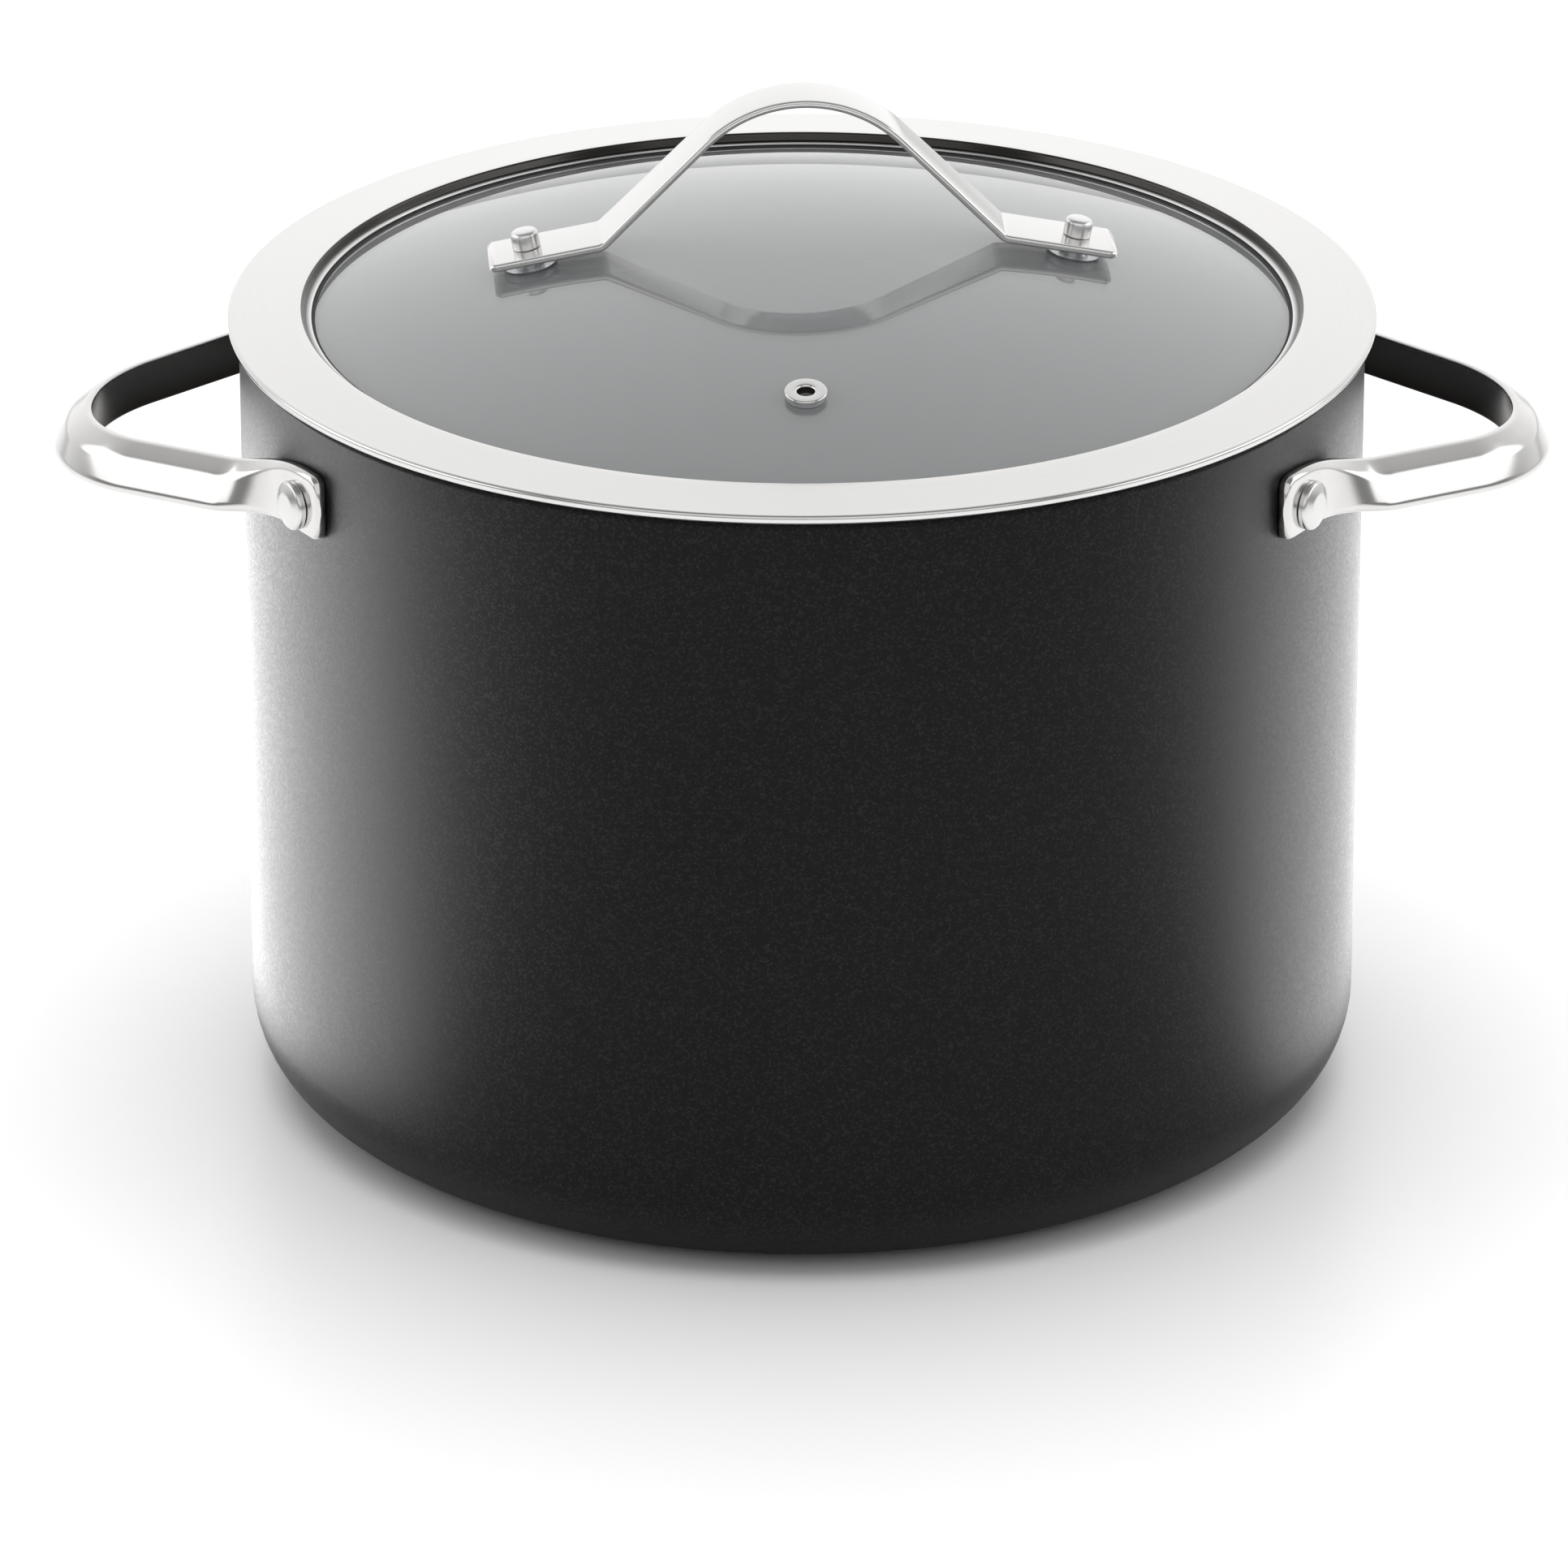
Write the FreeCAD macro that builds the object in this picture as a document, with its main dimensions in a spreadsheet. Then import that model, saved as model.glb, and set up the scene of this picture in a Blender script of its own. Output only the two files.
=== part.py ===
import FreeCAD, Part

import math
import os

import Sketcher
from FreeCAD import Rotation, Vector

# Water bath canner: a deep pot with two cast side handles, a glass lid in a steel band with an
# arched strap handle and a steam vent, and a jar rack with two folding handles.
# Millimetres, +Z up, +X towards the right side handle, front at -Y, origin at the centre of the base.

SIZES = {
    # pot
    "pot_radius": 140.0,
    "pot_wall": 3.0,
    "pot_floor": 4.5,
    "pot_height": 199.5,
    "pot_corner": 23.0,
    "brim_round": 1.4,
    # side handles: riveting pads, then the loop between them, which tilts down outwards
    "pad_thick": 3.0,
    "pad_top": 187.8,
    "pad_bottom": 171.0,
    "pad_end_angle": 34.7,
    "pad_neck_angle": 25.7,
    "pad_corner": 4.0,
    "pad_edge": 1.1,
    "grip_reach": 177.2,
    "grip_end_radius": 34.0,
    "grip_blend_radius": 40.0,
    "grip_top": 176.6,
    "grip_tilt": 5.2,
    "grip_land": 1.7,
    "grip_ridge": 6.4,
    "grip_ridge_drop": 3.3,
    "grip_width": 9.9,
    "grip_width_drop": 10.2,
    "grip_sole": 9.0,
    "grip_depth": 11.7,
    # distances along the casting where its section starts and ends turning, and rising, from pad to loop
    "turn_start": 15.0,
    "turn_end": 46.0,
    "rise_start": 7.0,
    "rise_end": 44.0,
    # rivets of the side handles
    "rivet_angle": 30.35,
    "rivet_level": 178.0,
    "rivet_shank": 3.0,
    "rivet_head": 6.1,
    "rivet_head_depth": 3.0,
    "rivet_head_round": 1.1,
    "rivet_tail": 7.0,
    "rivet_tail_depth": 2.0,
    "rivet_tail_gap": 0.25,
    # lid band, one folded sheet: ledge, crest, slope, hem, seat, skirt and foot
    "band_sheet": 0.9,
    "ledge_tip": 121.9,
    "ledge_root": 123.6,
    "ledge_level": 202.0,
    "ledge_rise": 0.2,
    "ledge_thick": 0.7,
    "ledge_inset": 0.7,
    "crest_radius": 125.0,
    "crest_level": 204.2,
    "crest_lead": 0.1,
    "crest_relief": 0.3,
    "fold_round": 0.5,
    "hem_outer": 142.75,
    "hem_round": 1.15,
    "hem_level": 201.65,
    "seat_level": 199.8,
    "seat_fold": 0.4,
    "skirt_radius": 136.0,
    "skirt_bottom": 191.2,
    "skirt_round": 0.7,
    "foot_inner": 125.0,
    # glass
    "dome_radius": 370.0,
    "dome_top": 221.6,
    "glass_thick": 4.0,
    "glass_edge": 130.0,
    "seal_tip": 121.3,
    "seal_outer": 134.0,
    "seal_foot_inner": 126.0,
    "seal_inset": 1.0,
    "seal_nose": 0.5,
    "seal_gap": 0.75,
    # lid handle, its studs, washers and nuts
    "lid_turn": 3.65,
    "stud_reach": 67.5,
    "strap_thick": 2.0,
    "strap_reach": 79.5,
    "strap_wide": 18.0,
    "strap_waist": 14.8,
    "strap_waist_reach": 51.0,
    "strap_end_bow": 2.5,
    "strap_trim": 5.0,
    "arch_radius": 35.0,
    "arch_top": 259.0,
    "flank_angle": 45.0,
    "bend_round": 2.0,
    "stud_shank": 2.5,
    "stud_head": 3.5,
    "stud_head_depth": 4.6,
    "stud_round": 1.2,
    "washer_radius": 6.85,
    "washer_thick": 2.4,
    "washer_round": 0.6,
    "lower_washer_thick": 1.5,
    "nut_radius": 4.6,
    "nut_depth": 3.6,
    "nut_cap": 3.2,
    "nut_cap_round": 2.56,
    "nut_bore_over": 1.0,
    # steam vent
    "vent_reach": 86.5,
    "vent_turn": -89.4,
    "vent_bore": 2.1,
    "vent_neck": 3.0,
    "vent_flange": 5.25,
    "vent_flange_thick": 0.9,
    "vent_lift": 1.35,
    "vent_curl": 4.6,
    "vent_round": 0.54,
    "grommet_radius": 4.9,
    "grommet_sleeve": 3.9,
    "grommet_lip": 1.2,
    "grommet_round": 0.4,
    # jar rack
    "wire": 2.0,
    "hoop_radius": 126.0,
    "hoop_level": 14.0,
    "inner_ring_radius": 62.0,
    "cross_wire": 1.6,
    "cross_pitch": 30.0,
    "leg_half": 15.0,
    "leg_bend": 6.0,
    "leg_x": 60.0,
    "leg_y": 85.0,
    "eye_wire": 1.5,
    "eye_ring": 3.9,
    "eye_y": 45.0,
    "hinge_x": 118.0,
    "hinge_level": 21.5,
    "bail_arm": 39.0,
    "bail_length": 105.0,
    "bail_tip": 50.0,
    "bail_corner": 12.0,
    "bail_elbow": 4.0,
    # clearances: pieces fixed together, and bodies that come apart
    "fixed_gap": 0.05,
    "free_gap": 0.3,
    "shank_gap": 0.1,
    "glass_bore_gap": 0.5,
}
# Shares of each stretch of a side handle's path where its sections stand, and the rack's count of wires.
PAD_SHARES = (0, 0.02, 0.07, 0.14, 0.3, 0.5, 0.75)
BLEND_SHARES = (0, 0.25, 0.5, 0.75)
STRAIGHT_SHARES = (0, 0.33, 0.67)
TIP_SHARES = (0, 0.2, 0.4, 0.6, 0.8, 1)
CROSS_WIRES = 8
EDGE_MATCH = 0.01

doc = FreeCAD.newDocument("water_bath_canner")
sheet = doc.addObject("Spreadsheet::Sheet", "Sizes")
for row, (name, value) in enumerate(SIZES.items(), start=1):
    sheet.set(f"A{row}", name)
    sheet.set(f"B{row}", str(value))
    sheet.setAlias(f"B{row}", name)
doc.recompute()


class Size:
    """A number together with the sheet expression that gives it."""

    def __init__(self, value, text):
        self.value = value
        self.text = text

    def __add__(self, other):
        return join(self, "+", other, self.value + number(other))

    def __radd__(self, other):
        return join(other, "+", self, number(other) + self.value)

    def __sub__(self, other):
        return join(self, "-", other, self.value - number(other))

    def __rsub__(self, other):
        return join(other, "-", self, number(other) - self.value)

    def __mul__(self, other):
        return join(self, "*", other, self.value * number(other))

    def __rmul__(self, other):
        return join(other, "*", self, number(other) * self.value)

    def __truediv__(self, other):
        return join(self, "/", other, self.value / number(other))

    def __neg__(self):
        return 0 - self


def number(size):
    return size.value if isinstance(size, Size) else float(size)


def text(size):
    return size.text if isinstance(size, Size) else str(size)


def join(left, sign, right, value):
    return Size(value, f"({text(left)} {sign} {text(right)})")


def root(size):
    return Size(math.sqrt(size.value), f"sqrt({size.text})")


def sine(angle):
    return Size(math.sin(math.radians(number(angle))), f"sin({text(angle)})")


def cosine(angle):
    return Size(math.cos(math.radians(number(angle))), f"cos({text(angle)})")


def dome_tilt(reach):
    """Angle in degrees between the vertical and the dome's normal, at a distance from the axis."""
    value = math.degrees(math.asin(number(reach) / number(d.dome_radius)))
    return Size(value, f"(asin({text(reach)} / Sizes.dome_radius) / 1deg)")


class Sheet:
    """The driving dimensions by name, each as a Size."""

    def __getattr__(self, alias):
        return Size(float(sheet.get(alias)), f"Sizes.{alias}")


d = Sheet()
nodes = []


def node(piece, label):
    """Name a finished piece and list it for writing."""
    piece.Label = label
    nodes.append(piece)
    return piece


def bind(piece, **sizes):
    """Tie properties of a piece to the sheet."""
    for name, size in sizes.items():
        piece.setExpression(name, text(size))


def place(piece, x=0, y=0, z=0, turn=0, tilt=0):
    """Tie a piece's place to the sheet: tilted about Y, then turned about Z, then moved."""
    spot = f"vector({text(x)}; {text(y)}; {text(z)})"
    piece.setExpression("Placement", f"placement({spot}; rotationz({text(turn)}) * rotationy({text(tilt)}))")


def boolean(kind, label, base, tool):
    piece = doc.addObject(f"Part::{kind}", label)
    piece.Base = base
    piece.Tool = tool
    return piece


def group(label, pieces):
    """Several separate solids as one piece."""
    piece = doc.addObject("Part::Compound", label)
    piece.Links = pieces
    return piece


def peg(label, radius, low, high):
    """A cylinder along Z from low to high, for a bore or a wire."""
    body = doc.addObject("PartDesign::Body", label)
    piece = body.newObject("PartDesign::AdditiveCylinder", f"{label}_cylinder")
    piece.setExpression("Radius", text(radius))
    piece.setExpression("Height", text(high - low))
    piece.setExpression("AttachmentOffset.Base.z", text(low))
    piece.AttachmentSupport = (origin_plane(body, "XY_Plane"), [""])
    piece.MapMode = "FlatFace"
    return body


def origin_plane(body, role):
    return next(plane for plane in body.Origin.OriginFeatures if plane.Role == role)


def sketch_on(body, role, offset=0):
    """A sketch on one of the body's own origin planes, or parallel to it."""
    sketch = body.newObject("Sketcher::SketchObject", f"{body.Label}_sketch")
    sketch.AttachmentSupport = (origin_plane(body, role), [""])
    sketch.MapMode = "FlatFace"
    sketch.setExpression("AttachmentOffset.Base.z", text(offset))
    return sketch


def arc_between(start, end, radius):
    """The shorter arc from start to end; a positive radius bends to the left."""
    chord = end - start
    reach = math.sqrt(max(radius * radius - chord.Length ** 2 / 4, 0))
    left = Vector(-chord.y, chord.x, 0).normalize()
    centre = (start + end) / 2 + left * math.copysign(reach, radius)
    first, last = (start, end) if radius > 0 else (end, start)
    angles = [math.atan2(point.y - centre.y, point.x - centre.x) for point in (first, last)]
    return Part.ArcOfCircle(Part.Circle(centre, Vector(0, 0, 1), abs(radius)), *angles)


def outline(sketch, points, closed=True):
    """Draw a chain of lines and arcs whose sizes all follow the sheet.

    A point is (across, up), or (across, up, radius) where the way to it is an arc.
    """
    spots = [Vector(number(point[0]), number(point[1]), 0) for point in points]
    first = 0 if closed else 1
    ends = []
    for index in range(first, len(points)):
        start, end = spots[index - 1], spots[index]
        bend = points[index][2] if len(points[index]) > 2 else None
        if bend is None:
            edge = sketch.addGeometry(Part.LineSegment(start, end))
            ends.append((edge, 1, 2))
            continue
        edge = sketch.addGeometry(arc_between(start, end, number(bend)))
        ends.append((edge, 1, 2) if number(bend) > 0 else (edge, 2, 1))
        rule = sketch.addConstraint(Sketcher.Constraint("Radius", edge, abs(number(bend))))
        sketch.setExpression(f"Constraints[{rule}]", f"abs({text(bend)})")
    for index, (edge, start, end) in enumerate(ends):
        if index or closed:
            before = ends[index - 1]
            sketch.addConstraint(Sketcher.Constraint("Coincident", before[0], before[2], edge, start))
        elif not closed:
            fix_point(sketch, edge, start, points[0])
        fix_point(sketch, edge, end, points[first + index])


def fix_point(sketch, edge, end, point):
    """Hold one end of an edge at a point that follows the sheet."""
    for kind, size in zip(("DistanceX", "DistanceY"), point[:2]):
        rule = sketch.addConstraint(Sketcher.Constraint(kind, -1, 1, edge, end, number(size)))
        sketch.setExpression(f"Constraints[{rule}]", text(size))


def turned(label, points):
    """A body of revolution about Z from its half profile of (radius, height) points."""
    body = doc.addObject("PartDesign::Body", label)
    sketch = sketch_on(body, "XZ_Plane")
    outline(sketch, points)
    turning = body.newObject("PartDesign::Revolution", f"{label}_turning")
    turning.Profile = sketch
    turning.ReferenceAxis = (sketch, ["V_Axis"])
    turning.Angle = 360
    doc.recompute()
    return body


def round_rings(body, rings, radius):
    """Fillet the circular edges of a turned body, each given by its radius and height."""
    edges = []
    for index, edge in enumerate(body.Tip.Shape.Edges, start=1):
        for across, up in rings:
            if isinstance(edge.Curve, Part.Circle) and math.isclose(edge.Curve.Radius, number(across)) \
                    and math.isclose(edge.Curve.Center.z, number(up), abs_tol=1e-6):
                edges.append(f"Edge{index}")
    fillet(body, edges, radius)


def fillet(body, edges, radius):
    base = body.Tip
    piece = body.newObject("PartDesign::Fillet", f"{body.Label}_fillet")
    piece.Base = (base, edges)
    piece.setExpression("Radius", text(radius))
    body.Tip = piece
    doc.recompute()


def wire_piece(label, role, points, radius, start_role, start_offset):
    """A round wire along a planar path; role is the path's plane, start_role the one square to its start."""
    body = doc.addObject("PartDesign::Body", label)
    path = sketch_on(body, role)
    outline(path, points, closed=False)
    doc.recompute()
    ring = body.newObject("Sketcher::SketchObject", f"{label}_ring")
    ring.AttachmentSupport = (origin_plane(body, start_role), [""])
    ring.MapMode = "FlatFace"
    ring.setExpression("AttachmentOffset.Base.z", text(start_offset))
    start = points[0]
    centre = Vector(number(start[0]), 0, 0)
    circle = ring.addGeometry(Part.Circle(centre, Vector(0, 0, 1), number(radius)))
    rule = ring.addConstraint(Sketcher.Constraint("Radius", circle, number(radius)))
    ring.setExpression(f"Constraints[{rule}]", text(radius))
    fix_point(ring, circle, 3, (start[0], 0))
    pipe = body.newObject("PartDesign::AdditivePipe", f"{label}_pipe")
    pipe.Profile = ring
    pipe.Spine = path
    doc.recompute()
    return body


# Pot: a drawn pan with a thick floor, a rounded brim and a bore for each rivet.

SIDES = {"left": 180, "right": 0}
ENDS = {"front": -1, "rear": 1}


def rivet_turn(side, end):
    """Angle about Z of a rivet's axis."""
    return ENDS[end] * d.rivet_angle if side == "right" else 180 - ENDS[end] * d.rivet_angle


def rivet_bores(label, sides):
    """Cylinders across the wall where the rivets of these sides go."""
    bores = []
    for side in sides:
        for end in ENDS:
            bore = peg(f"{label}_{side}_{end}", d.rivet_shank + d.shank_gap,
                       d.pot_radius - 4 * d.pot_wall, d.pot_radius + 4 * d.pad_thick)
            place(bore, z=d.rivet_level, turn=rivet_turn(side, end), tilt=90)
            bores.append(bore)
    return group(label, bores)


pot_inner = d.pot_radius - d.pot_wall
pot_shell = turned("pot_shell", [(0, 0), (d.pot_radius, 0), (d.pot_radius, d.pot_height),
                                 (pot_inner, d.pot_height), (pot_inner, d.pot_floor), (0, d.pot_floor)])
round_rings(pot_shell, [(d.pot_radius, 0)], d.pot_corner)
round_rings(pot_shell, [(pot_inner, d.pot_floor)], d.pot_corner - d.pot_wall)
round_rings(pot_shell, [(d.pot_radius, d.pot_height), (pot_inner, d.pot_height)], d.brim_round)
node(boolean("Cut", "pot_body", pot_shell, rivet_bores("pot_bores", SIDES)), "pot_body")


# Side handles: one casting each. Its section runs from a flat pad to the loop's wedge section.

def casting_path():
    """Half of the inner face's plan, from the pad's end to the loop's tip: (distance, x, y, angle)."""
    wall = number(d.pot_radius + d.fixed_gap)
    blend, tip = number(d.grip_blend_radius), number(d.grip_end_radius)
    end, neck = math.radians(number(d.pad_end_angle)), math.radians(number(d.pad_neck_angle))
    blend_x, blend_y = (wall + blend) * math.cos(neck), -(wall + blend) * math.sin(neck)
    tip_x = number(d.grip_reach) - tip
    apart = math.hypot(tip_x - blend_x, blend_y)
    heading = math.atan2(-blend_y, tip_x - blend_x) - math.asin((blend + tip) / apart)
    length = math.sqrt(apart ** 2 - (blend + tip) ** 2)
    stations = []
    for share in PAD_SHARES:
        angle = -end + share * (end - neck)
        stations.append((share * wall * (end - neck), wall * math.cos(angle), wall * math.sin(angle), angle))
    travelled = wall * (end - neck)
    start = math.pi - neck
    sweep = start - (math.pi / 2 + heading)
    for share in BLEND_SHARES:
        angle = start - share * sweep
        stations.append((travelled + share * sweep * blend, blend_x + blend * math.cos(angle),
                         blend_y + blend * math.sin(angle), angle - math.pi))
    travelled += sweep * blend
    across = heading - math.pi / 2
    first_x, first_y = blend_x - blend * math.cos(across), blend_y - blend * math.sin(across)
    for share in STRAIGHT_SHARES:
        stations.append((travelled + share * length, first_x + share * length * math.cos(heading),
                         first_y + share * length * math.sin(heading), across))
    travelled += length
    for share in TIP_SHARES:
        angle = across * (1 - share)
        stations.append((travelled - share * across * tip, tip_x + tip * math.cos(angle),
                         tip * math.sin(angle), angle))
    return stations


def smooth(value, start, end):
    share = min(max((value - number(start)) / (number(end) - number(start)), 0), 1)
    return share * share * (3 - 2 * share)


def casting_section(travelled, x, y, angle, mirror):
    """One section of the casting, square to its path, as a closed wire."""
    slope = math.tan(math.radians(number(d.grip_tilt)))
    loop_top = number(d.grip_top) + slope * (number(d.grip_reach) - x)
    corner, edge, thick = number(d.pad_corner), number(d.pad_edge), number(d.pad_thick)
    nip = corner - math.sqrt(corner ** 2 - max(corner - travelled, 0) ** 2)
    top, bottom = number(d.pad_top) - nip, number(d.pad_bottom) + nip
    pad = [(0, top), (thick - edge, top), (thick, top - edge),
           (thick, bottom + edge), (thick - edge, bottom), (0, bottom)]
    loop = [(0, loop_top), (number(d.grip_land), loop_top),
            (number(d.grip_ridge), loop_top - number(d.grip_ridge_drop)),
            (number(d.grip_width), loop_top - number(d.grip_width_drop)),
            (number(d.grip_sole), loop_top - number(d.grip_depth)), (0, loop_top - number(d.grip_depth))]
    turn_share = smooth(travelled, d.turn_start, d.turn_end)
    rise_share = smooth(travelled, d.rise_start, d.rise_end)
    corners = []
    for (pad_out, pad_up), (loop_out, loop_up) in zip(pad, loop):
        out = pad_out + (loop_out - pad_out) * turn_share
        up = pad_up + (loop_up - pad_up) * rise_share
        corners.append(Vector(x + out * math.cos(angle), mirror * (y + out * math.sin(angle)), up))
    return Part.makePolygon(corners + corners[:1])


half_path = casting_path()
sections = [casting_section(*station, 1) for station in half_path]
sections += [casting_section(*station, -1) for station in reversed(half_path[:-1])]
casting_shape = Part.makeLoft(sections, True, False)
for side, side_turn in SIDES.items():
    casting = doc.addObject("Part::Feature", f"casting_{side}")
    casting.Shape = casting_shape
    casting.Placement = FreeCAD.Placement(Vector(), Rotation(Vector(0, 0, 1), side_turn))
    bores = rivet_bores(f"casting_bores_{side}", [side])
    node(boolean("Cut", f"side_handle_{side}", casting, bores), f"side_handle_{side}")


# Rivets of the side handles: a broad rounded head outside, a shank, and a flat tail inside the pot.

for side in SIDES:
    for end in ENDS:
        head_base = d.pot_radius + d.pad_thick + 2 * d.fixed_gap
        tail_base = pot_inner - d.rivet_tail_gap
        rivet = turned(f"handle_rivet_{side}_{end}", [
            (0, tail_base - d.rivet_tail_depth), (d.rivet_tail, tail_base - d.rivet_tail_depth),
            (d.rivet_tail, tail_base), (d.rivet_shank, tail_base), (d.rivet_shank, head_base),
            (d.rivet_head, head_base), (d.rivet_head, head_base + d.rivet_head_depth),
            (0, head_base + d.rivet_head_depth)])
        round_rings(rivet, [(d.rivet_head, head_base + d.rivet_head_depth),
                            (d.rivet_tail, tail_base - d.rivet_tail_depth)], d.rivet_head_round)
        place(rivet, z=d.rivet_level, turn=rivet_turn(side, end), tilt=90)
        node(rivet, f"handle_rivet_{side}_{end}")


# Glass: a spherical dome of even thickness, with bores for the studs and the vent.

dome_centre = d.dome_top - d.dome_radius
glass_under = d.dome_radius - d.glass_thick


def dome_height(radius, sphere):
    """Height of a sphere about the dome's centre at a distance from the axis."""
    return dome_centre + root(sphere * sphere - radius * radius)


def place_on_dome(piece, reach, turn):
    """Stand a piece on the dome's outer surface, along its normal."""
    place(piece, x=reach * cosine(turn), y=reach * sine(turn), z=dome_height(reach, d.dome_radius),
          turn=turn, tilt=dome_tilt(reach))


stud_turns = {"left": d.lid_turn + 180, "right": d.lid_turn}
dome = turned("dome", [(0, glass_under + dome_centre),
                       (d.glass_edge, dome_height(d.glass_edge, glass_under), -glass_under),
                       (d.glass_edge, dome_height(d.glass_edge, d.dome_radius)),
                       (0, d.dome_top, d.dome_radius)])
glass_bores = []
for side, turn in stud_turns.items():
    bore = peg(f"glass_bore_{side}", d.stud_shank + d.glass_bore_gap, -3 * d.glass_thick, 2 * d.glass_thick)
    place_on_dome(bore, d.stud_reach, turn)
    glass_bores.append(bore)
vent_bore = peg("glass_bore_vent", d.grommet_sleeve + d.fixed_gap, -3 * d.glass_thick, 2 * d.glass_thick)
place_on_dome(vent_bore, d.vent_reach, d.vent_turn)
node(boolean("Cut", "lid_glass", dome, group("glass_bores", glass_bores + [vent_bore])), "lid_glass")


# Band: one folded sheet turned about Z. Its hem rests over the pot's brim and its skirt goes inside.

sheet_thick = d.band_sheet
hem_centre = d.hem_outer - d.hem_round
hem_inner = d.hem_round - sheet_thick
crest_under = d.crest_level - sheet_thick
skirt_inner = d.skirt_radius - sheet_thick
foot_top = d.skirt_bottom + sheet_thick
band = turned("lid_rim", [
    (d.ledge_tip, d.ledge_level), (d.ledge_root, d.ledge_level + d.ledge_rise),
    (d.crest_radius - sheet_thick, crest_under + d.crest_lead), (d.crest_radius, d.crest_level, -sheet_thick),
    (hem_centre, d.hem_level + d.hem_round), (hem_centre + d.hem_round, d.hem_level, -d.hem_round),
    (hem_centre, d.hem_level - d.hem_round, -d.hem_round), (hem_centre - d.hem_round, d.seat_level),
    (d.skirt_radius + d.skirt_round, d.seat_level),
    (d.skirt_radius, d.seat_level - d.skirt_round, d.skirt_round),
    (d.skirt_radius, foot_top), (skirt_inner, d.skirt_bottom, -sheet_thick),
    (d.foot_inner, d.skirt_bottom), (d.foot_inner, foot_top),
    (skirt_inner - d.fold_round, foot_top), (skirt_inner, foot_top + d.fold_round, d.fold_round),
    (skirt_inner, d.seat_level + d.seat_fold), (d.skirt_radius, d.seat_level + sheet_thick),
    (hem_centre - d.hem_round / 2, d.seat_level + sheet_thick), (hem_centre, d.hem_level - hem_inner),
    (hem_centre + hem_inner, d.hem_level, hem_inner), (hem_centre, d.hem_level + hem_inner, hem_inner),
    (d.crest_radius + d.crest_relief, crest_under),
    (d.crest_radius - d.crest_lead, crest_under - d.crest_relief, d.fold_round),
    (d.ledge_root + d.ledge_inset, d.ledge_level + d.ledge_rise - d.ledge_thick),
    (d.ledge_tip, d.ledge_level - d.ledge_thick)])
node(band, "lid_rim")

glass_over, glass_below = d.dome_radius + d.fixed_gap, glass_under - d.fixed_gap
seal_edge = d.glass_edge + d.fixed_gap
seal_foot = foot_top + d.fixed_gap
seal = turned("lid_gasket", [
    (d.seal_tip, dome_height(d.seal_tip, glass_over)),
    (seal_edge, dome_height(seal_edge, glass_over), -glass_over),
    (seal_edge, dome_height(seal_edge, glass_below)),
    (d.seal_foot_inner, dome_height(d.seal_foot_inner, glass_below), glass_below),
    (d.seal_foot_inner, seal_foot), (d.seal_outer - d.seal_inset, seal_foot),
    (d.seal_outer, seal_foot + d.seal_inset, d.seal_inset), (d.seal_outer, d.seat_level - d.seal_inset),
    (d.ledge_root + d.ledge_inset, d.ledge_level - d.seal_gap), (d.ledge_tip, d.ledge_level - d.seal_gap),
    (d.seal_tip, d.ledge_level - d.seal_nose)])
node(seal, "lid_gasket")


# Lid handle: a bent strap, cut to its plan outline and bored for the studs.

stud_tilt = dome_tilt(d.stud_reach)
arch_centre = d.arch_top - d.arch_radius
pad_level = dome_centre * cosine(stud_tilt) + d.dome_radius + d.washer_thick + 2 * d.fixed_gap + d.strap_thick
strap_tail = d.strap_reach + d.strap_trim


def bend_point(inset):
    """Where a flank's plane meets the pad's plane, both moved in by the inset."""
    arch = d.arch_radius - inset + arch_centre * cosine(d.flank_angle)
    pad = pad_level - inset
    spread = sine(d.flank_angle - stud_tilt)
    across = (arch * cosine(stud_tilt) - pad * cosine(d.flank_angle)) / spread
    up = (pad * sine(d.flank_angle) - arch * sine(stud_tilt)) / spread
    return across, up


def strap_half(inset):
    """One face of half the strap, from its tail to the arch: (across, up) points."""
    tail = (strap_tail, (pad_level - inset - strap_tail * sine(stud_tilt)) / cosine(stud_tilt))
    shoulder = ((d.arch_radius - inset) * sine(d.flank_angle),
                arch_centre + (d.arch_radius - inset) * cosine(d.flank_angle))
    return [tail, bend_point(inset), shoulder]


def mirrored(points):
    return [(-across, up) for across, up in reversed(points)]


top_face, under_face = strap_half(0), strap_half(d.strap_thick)
top_far, under_far = mirrored(top_face), mirrored(under_face)
top_far[0] = (*top_far[0], d.arch_radius)
under_face_back = list(reversed(under_face))
under_face_back[0] = (*under_face_back[0], -(d.arch_radius - d.strap_thick))
strap = doc.addObject("PartDesign::Body", "strap")
strap_sketch = sketch_on(strap, "XZ_Plane")
outline(strap_sketch, top_face + top_far + list(reversed(under_far)) + under_face_back)
strap_pad = strap.newObject("PartDesign::Pad", "strap_pad")
strap_pad.Profile = strap_sketch
strap_pad.Midplane = True
bind(strap_pad, Length=2 * d.strap_wide)
doc.recompute()


def cross_edges(feature, spot):
    """Names of the edges along Y through (+-x, z)."""
    return [f"Edge{index}" for index, edge in enumerate(feature.Shape.Edges, start=1)
            if abs(abs(edge.CenterOfMass.x) - number(spot[0])) < EDGE_MATCH
            and abs(edge.CenterOfMass.z - number(spot[1])) < EDGE_MATCH]


fillet(strap, cross_edges(strap.Tip, bend_point(0)), d.bend_round)
fillet(strap, cross_edges(strap.Tip, bend_point(d.strap_thick)), d.bend_round + d.strap_thick)

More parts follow.
